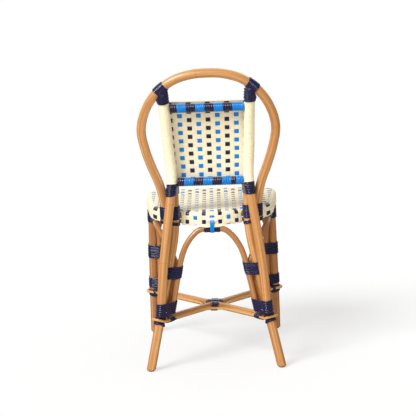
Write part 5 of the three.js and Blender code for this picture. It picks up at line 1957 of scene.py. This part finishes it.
class CHAIR_OT_studio(bpy.types.Operator):
    """Set the pale floor, the soft lamps and the camera"""

    bl_idname = "chair.studio"
    bl_label = "Studio"

    def execute(self, context):
        scene = context.scene
        studio = scene.chair_studio
        bpy.ops.object.select_all(action="DESELECT")
        bpy.ops.mesh.primitive_plane_add(size=FLOOR_SIZE)
        floor = context.object
        floor.name = "studio_floor"
        floor.data.materials.append(floor_finish(tuple(scene.chair_colours.floor)))
        upright = (math.radians(-90), 0, 0)
        bpy.ops.mesh.primitive_plane_add(size=BACKDROP_SIZE, location=BACKDROP_PLACE, rotation=upright)
        backdrop = context.object
        backdrop.name = "studio_backdrop"
        backdrop.data.materials.append(backdrop_finish(studio.fill_strength))

        lamps = (
            ("key", studio.key_strength, studio.key_softness),
            ("front", studio.front_strength, studio.front_softness),
        )
        for name, strength, softness in lamps:
            place = LAMP_PLACES[name]
            bpy.ops.object.light_add(type="SUN", location=[LAMP_DISTANCE * share for share in place])
            lamp = context.object
            lamp.name = f"{name}_lamp"
            lamp.data.energy = strength
            lamp.data.angle = softness
            lamp.rotation_euler = (-Vector(place)).to_track_quat("-Z", "Y").to_euler()
            lamp.visible_glossy = name == "key"

        world = bpy.data.worlds.new("studio_air")
        scene.world = world
        world.use_nodes = True
        nodes = Nodes(world.node_tree)
        air = nodes.nodes["Background"]
        path = nodes.new("LightPath")
        seen = path.outputs["Is Camera Ray"]
        nodes.feed(air.inputs["Color"], nodes.blend(seen, WARM_AIR, WHITE))
        unlit = nodes.reckon("SUBTRACT", 1.0, path.outputs["Is Glossy Ray"])
        thrown = nodes.reckon("MULTIPLY", unlit, studio.fill_strength)
        nodes.feed(air.inputs["Strength"], nodes.reckon("MAXIMUM", thrown, seen))

        look = Vector(CAMERA_LOOK).normalized()
        level = Vector((look.x, look.y, 0)).normalized().cross(Vector((0, 0, 1)))
        rise = level.cross(look)
        roll = math.radians(CAMERA_ROLL)
        right = level * math.cos(roll) + rise * math.sin(roll)
        up = rise * math.cos(roll) - level * math.sin(roll)
        bpy.ops.object.camera_add(location=CAMERA_PLACE)
        camera = context.object
        camera.name = "camera"
        turned = Matrix((right, up, -look)).transposed()
        camera.rotation_euler = turned.to_euler()
        camera.data.lens = CAMERA_LENS
        camera.data.sensor_width = 36
        camera.data.clip_end = 200
        scene.camera = camera
        scene.view_settings.view_transform = "Standard"
        return {"FINISHED"}


class CHAIR_PT_panel(bpy.types.Panel):
    """Steps of the chair, in the order in which it is made"""

    bl_idname = "CHAIR_PT_panel"
    bl_label = "Rattan Bistro Chair"
    bl_space_type = "VIEW_3D"
    bl_region_type = "UI"
    bl_category = "Chair"

    def draw(self, context):
        for group, _ in GROUPS:
            settings = getattr(context.scene, group)
            column = self.layout.column()
            for name in settings.bl_rna.properties.keys():
                if name not in {"rna_type", "name"}:
                    column.prop(settings, name)
        for step in STEPS:
            self.layout.operator(step.bl_idname)


STEPS = (
    CHAIR_OT_hoop,
    CHAIR_OT_posts,
    CHAIR_OT_rails,
    CHAIR_OT_legs,
    CHAIR_OT_glides,
    CHAIR_OT_seat_frame,
    CHAIR_OT_arches,
    CHAIR_OT_stretcher,
    CHAIR_OT_rail_windings,
    CHAIR_OT_post_windings,
    CHAIR_OT_back_weave,
    CHAIR_OT_seat_weave,
    CHAIR_OT_plate,
    CHAIR_OT_back_lashings,
    CHAIR_OT_leg_lashings,
    CHAIR_OT_stretcher_lashings,
    CHAIR_OT_arch_lashings,
    CHAIR_OT_studio,
)
GROUPS = (
    ("chair_poles", ChairPoles),
    ("chair_strands", ChairStrands),
    ("chair_colours", ChairColours),
    ("chair_studio", ChairStudio),
)


def register():
    for name, group in GROUPS:
        bpy.utils.register_class(group)
        setattr(bpy.types.Scene, name, bpy.props.PointerProperty(type=group))
    for step in (*STEPS, CHAIR_PT_panel):
        bpy.utils.register_class(step)


def unregister():
    for step in (CHAIR_PT_panel, *reversed(STEPS)):
        bpy.utils.unregister_class(step)
    for name, group in reversed(GROUPS):
        delattr(bpy.types.Scene, name)
        bpy.utils.unregister_class(group)


def run_step(step):
    family, name = step.bl_idname.split(".")
    getattr(getattr(bpy.ops, family), name)()


def main():
    bpy.ops.object.select_all(action="DESELECT")
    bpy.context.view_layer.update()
    register()
    for step in STEPS:
        run_step(step)
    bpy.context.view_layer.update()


if __name__ == "__main__":
    main()
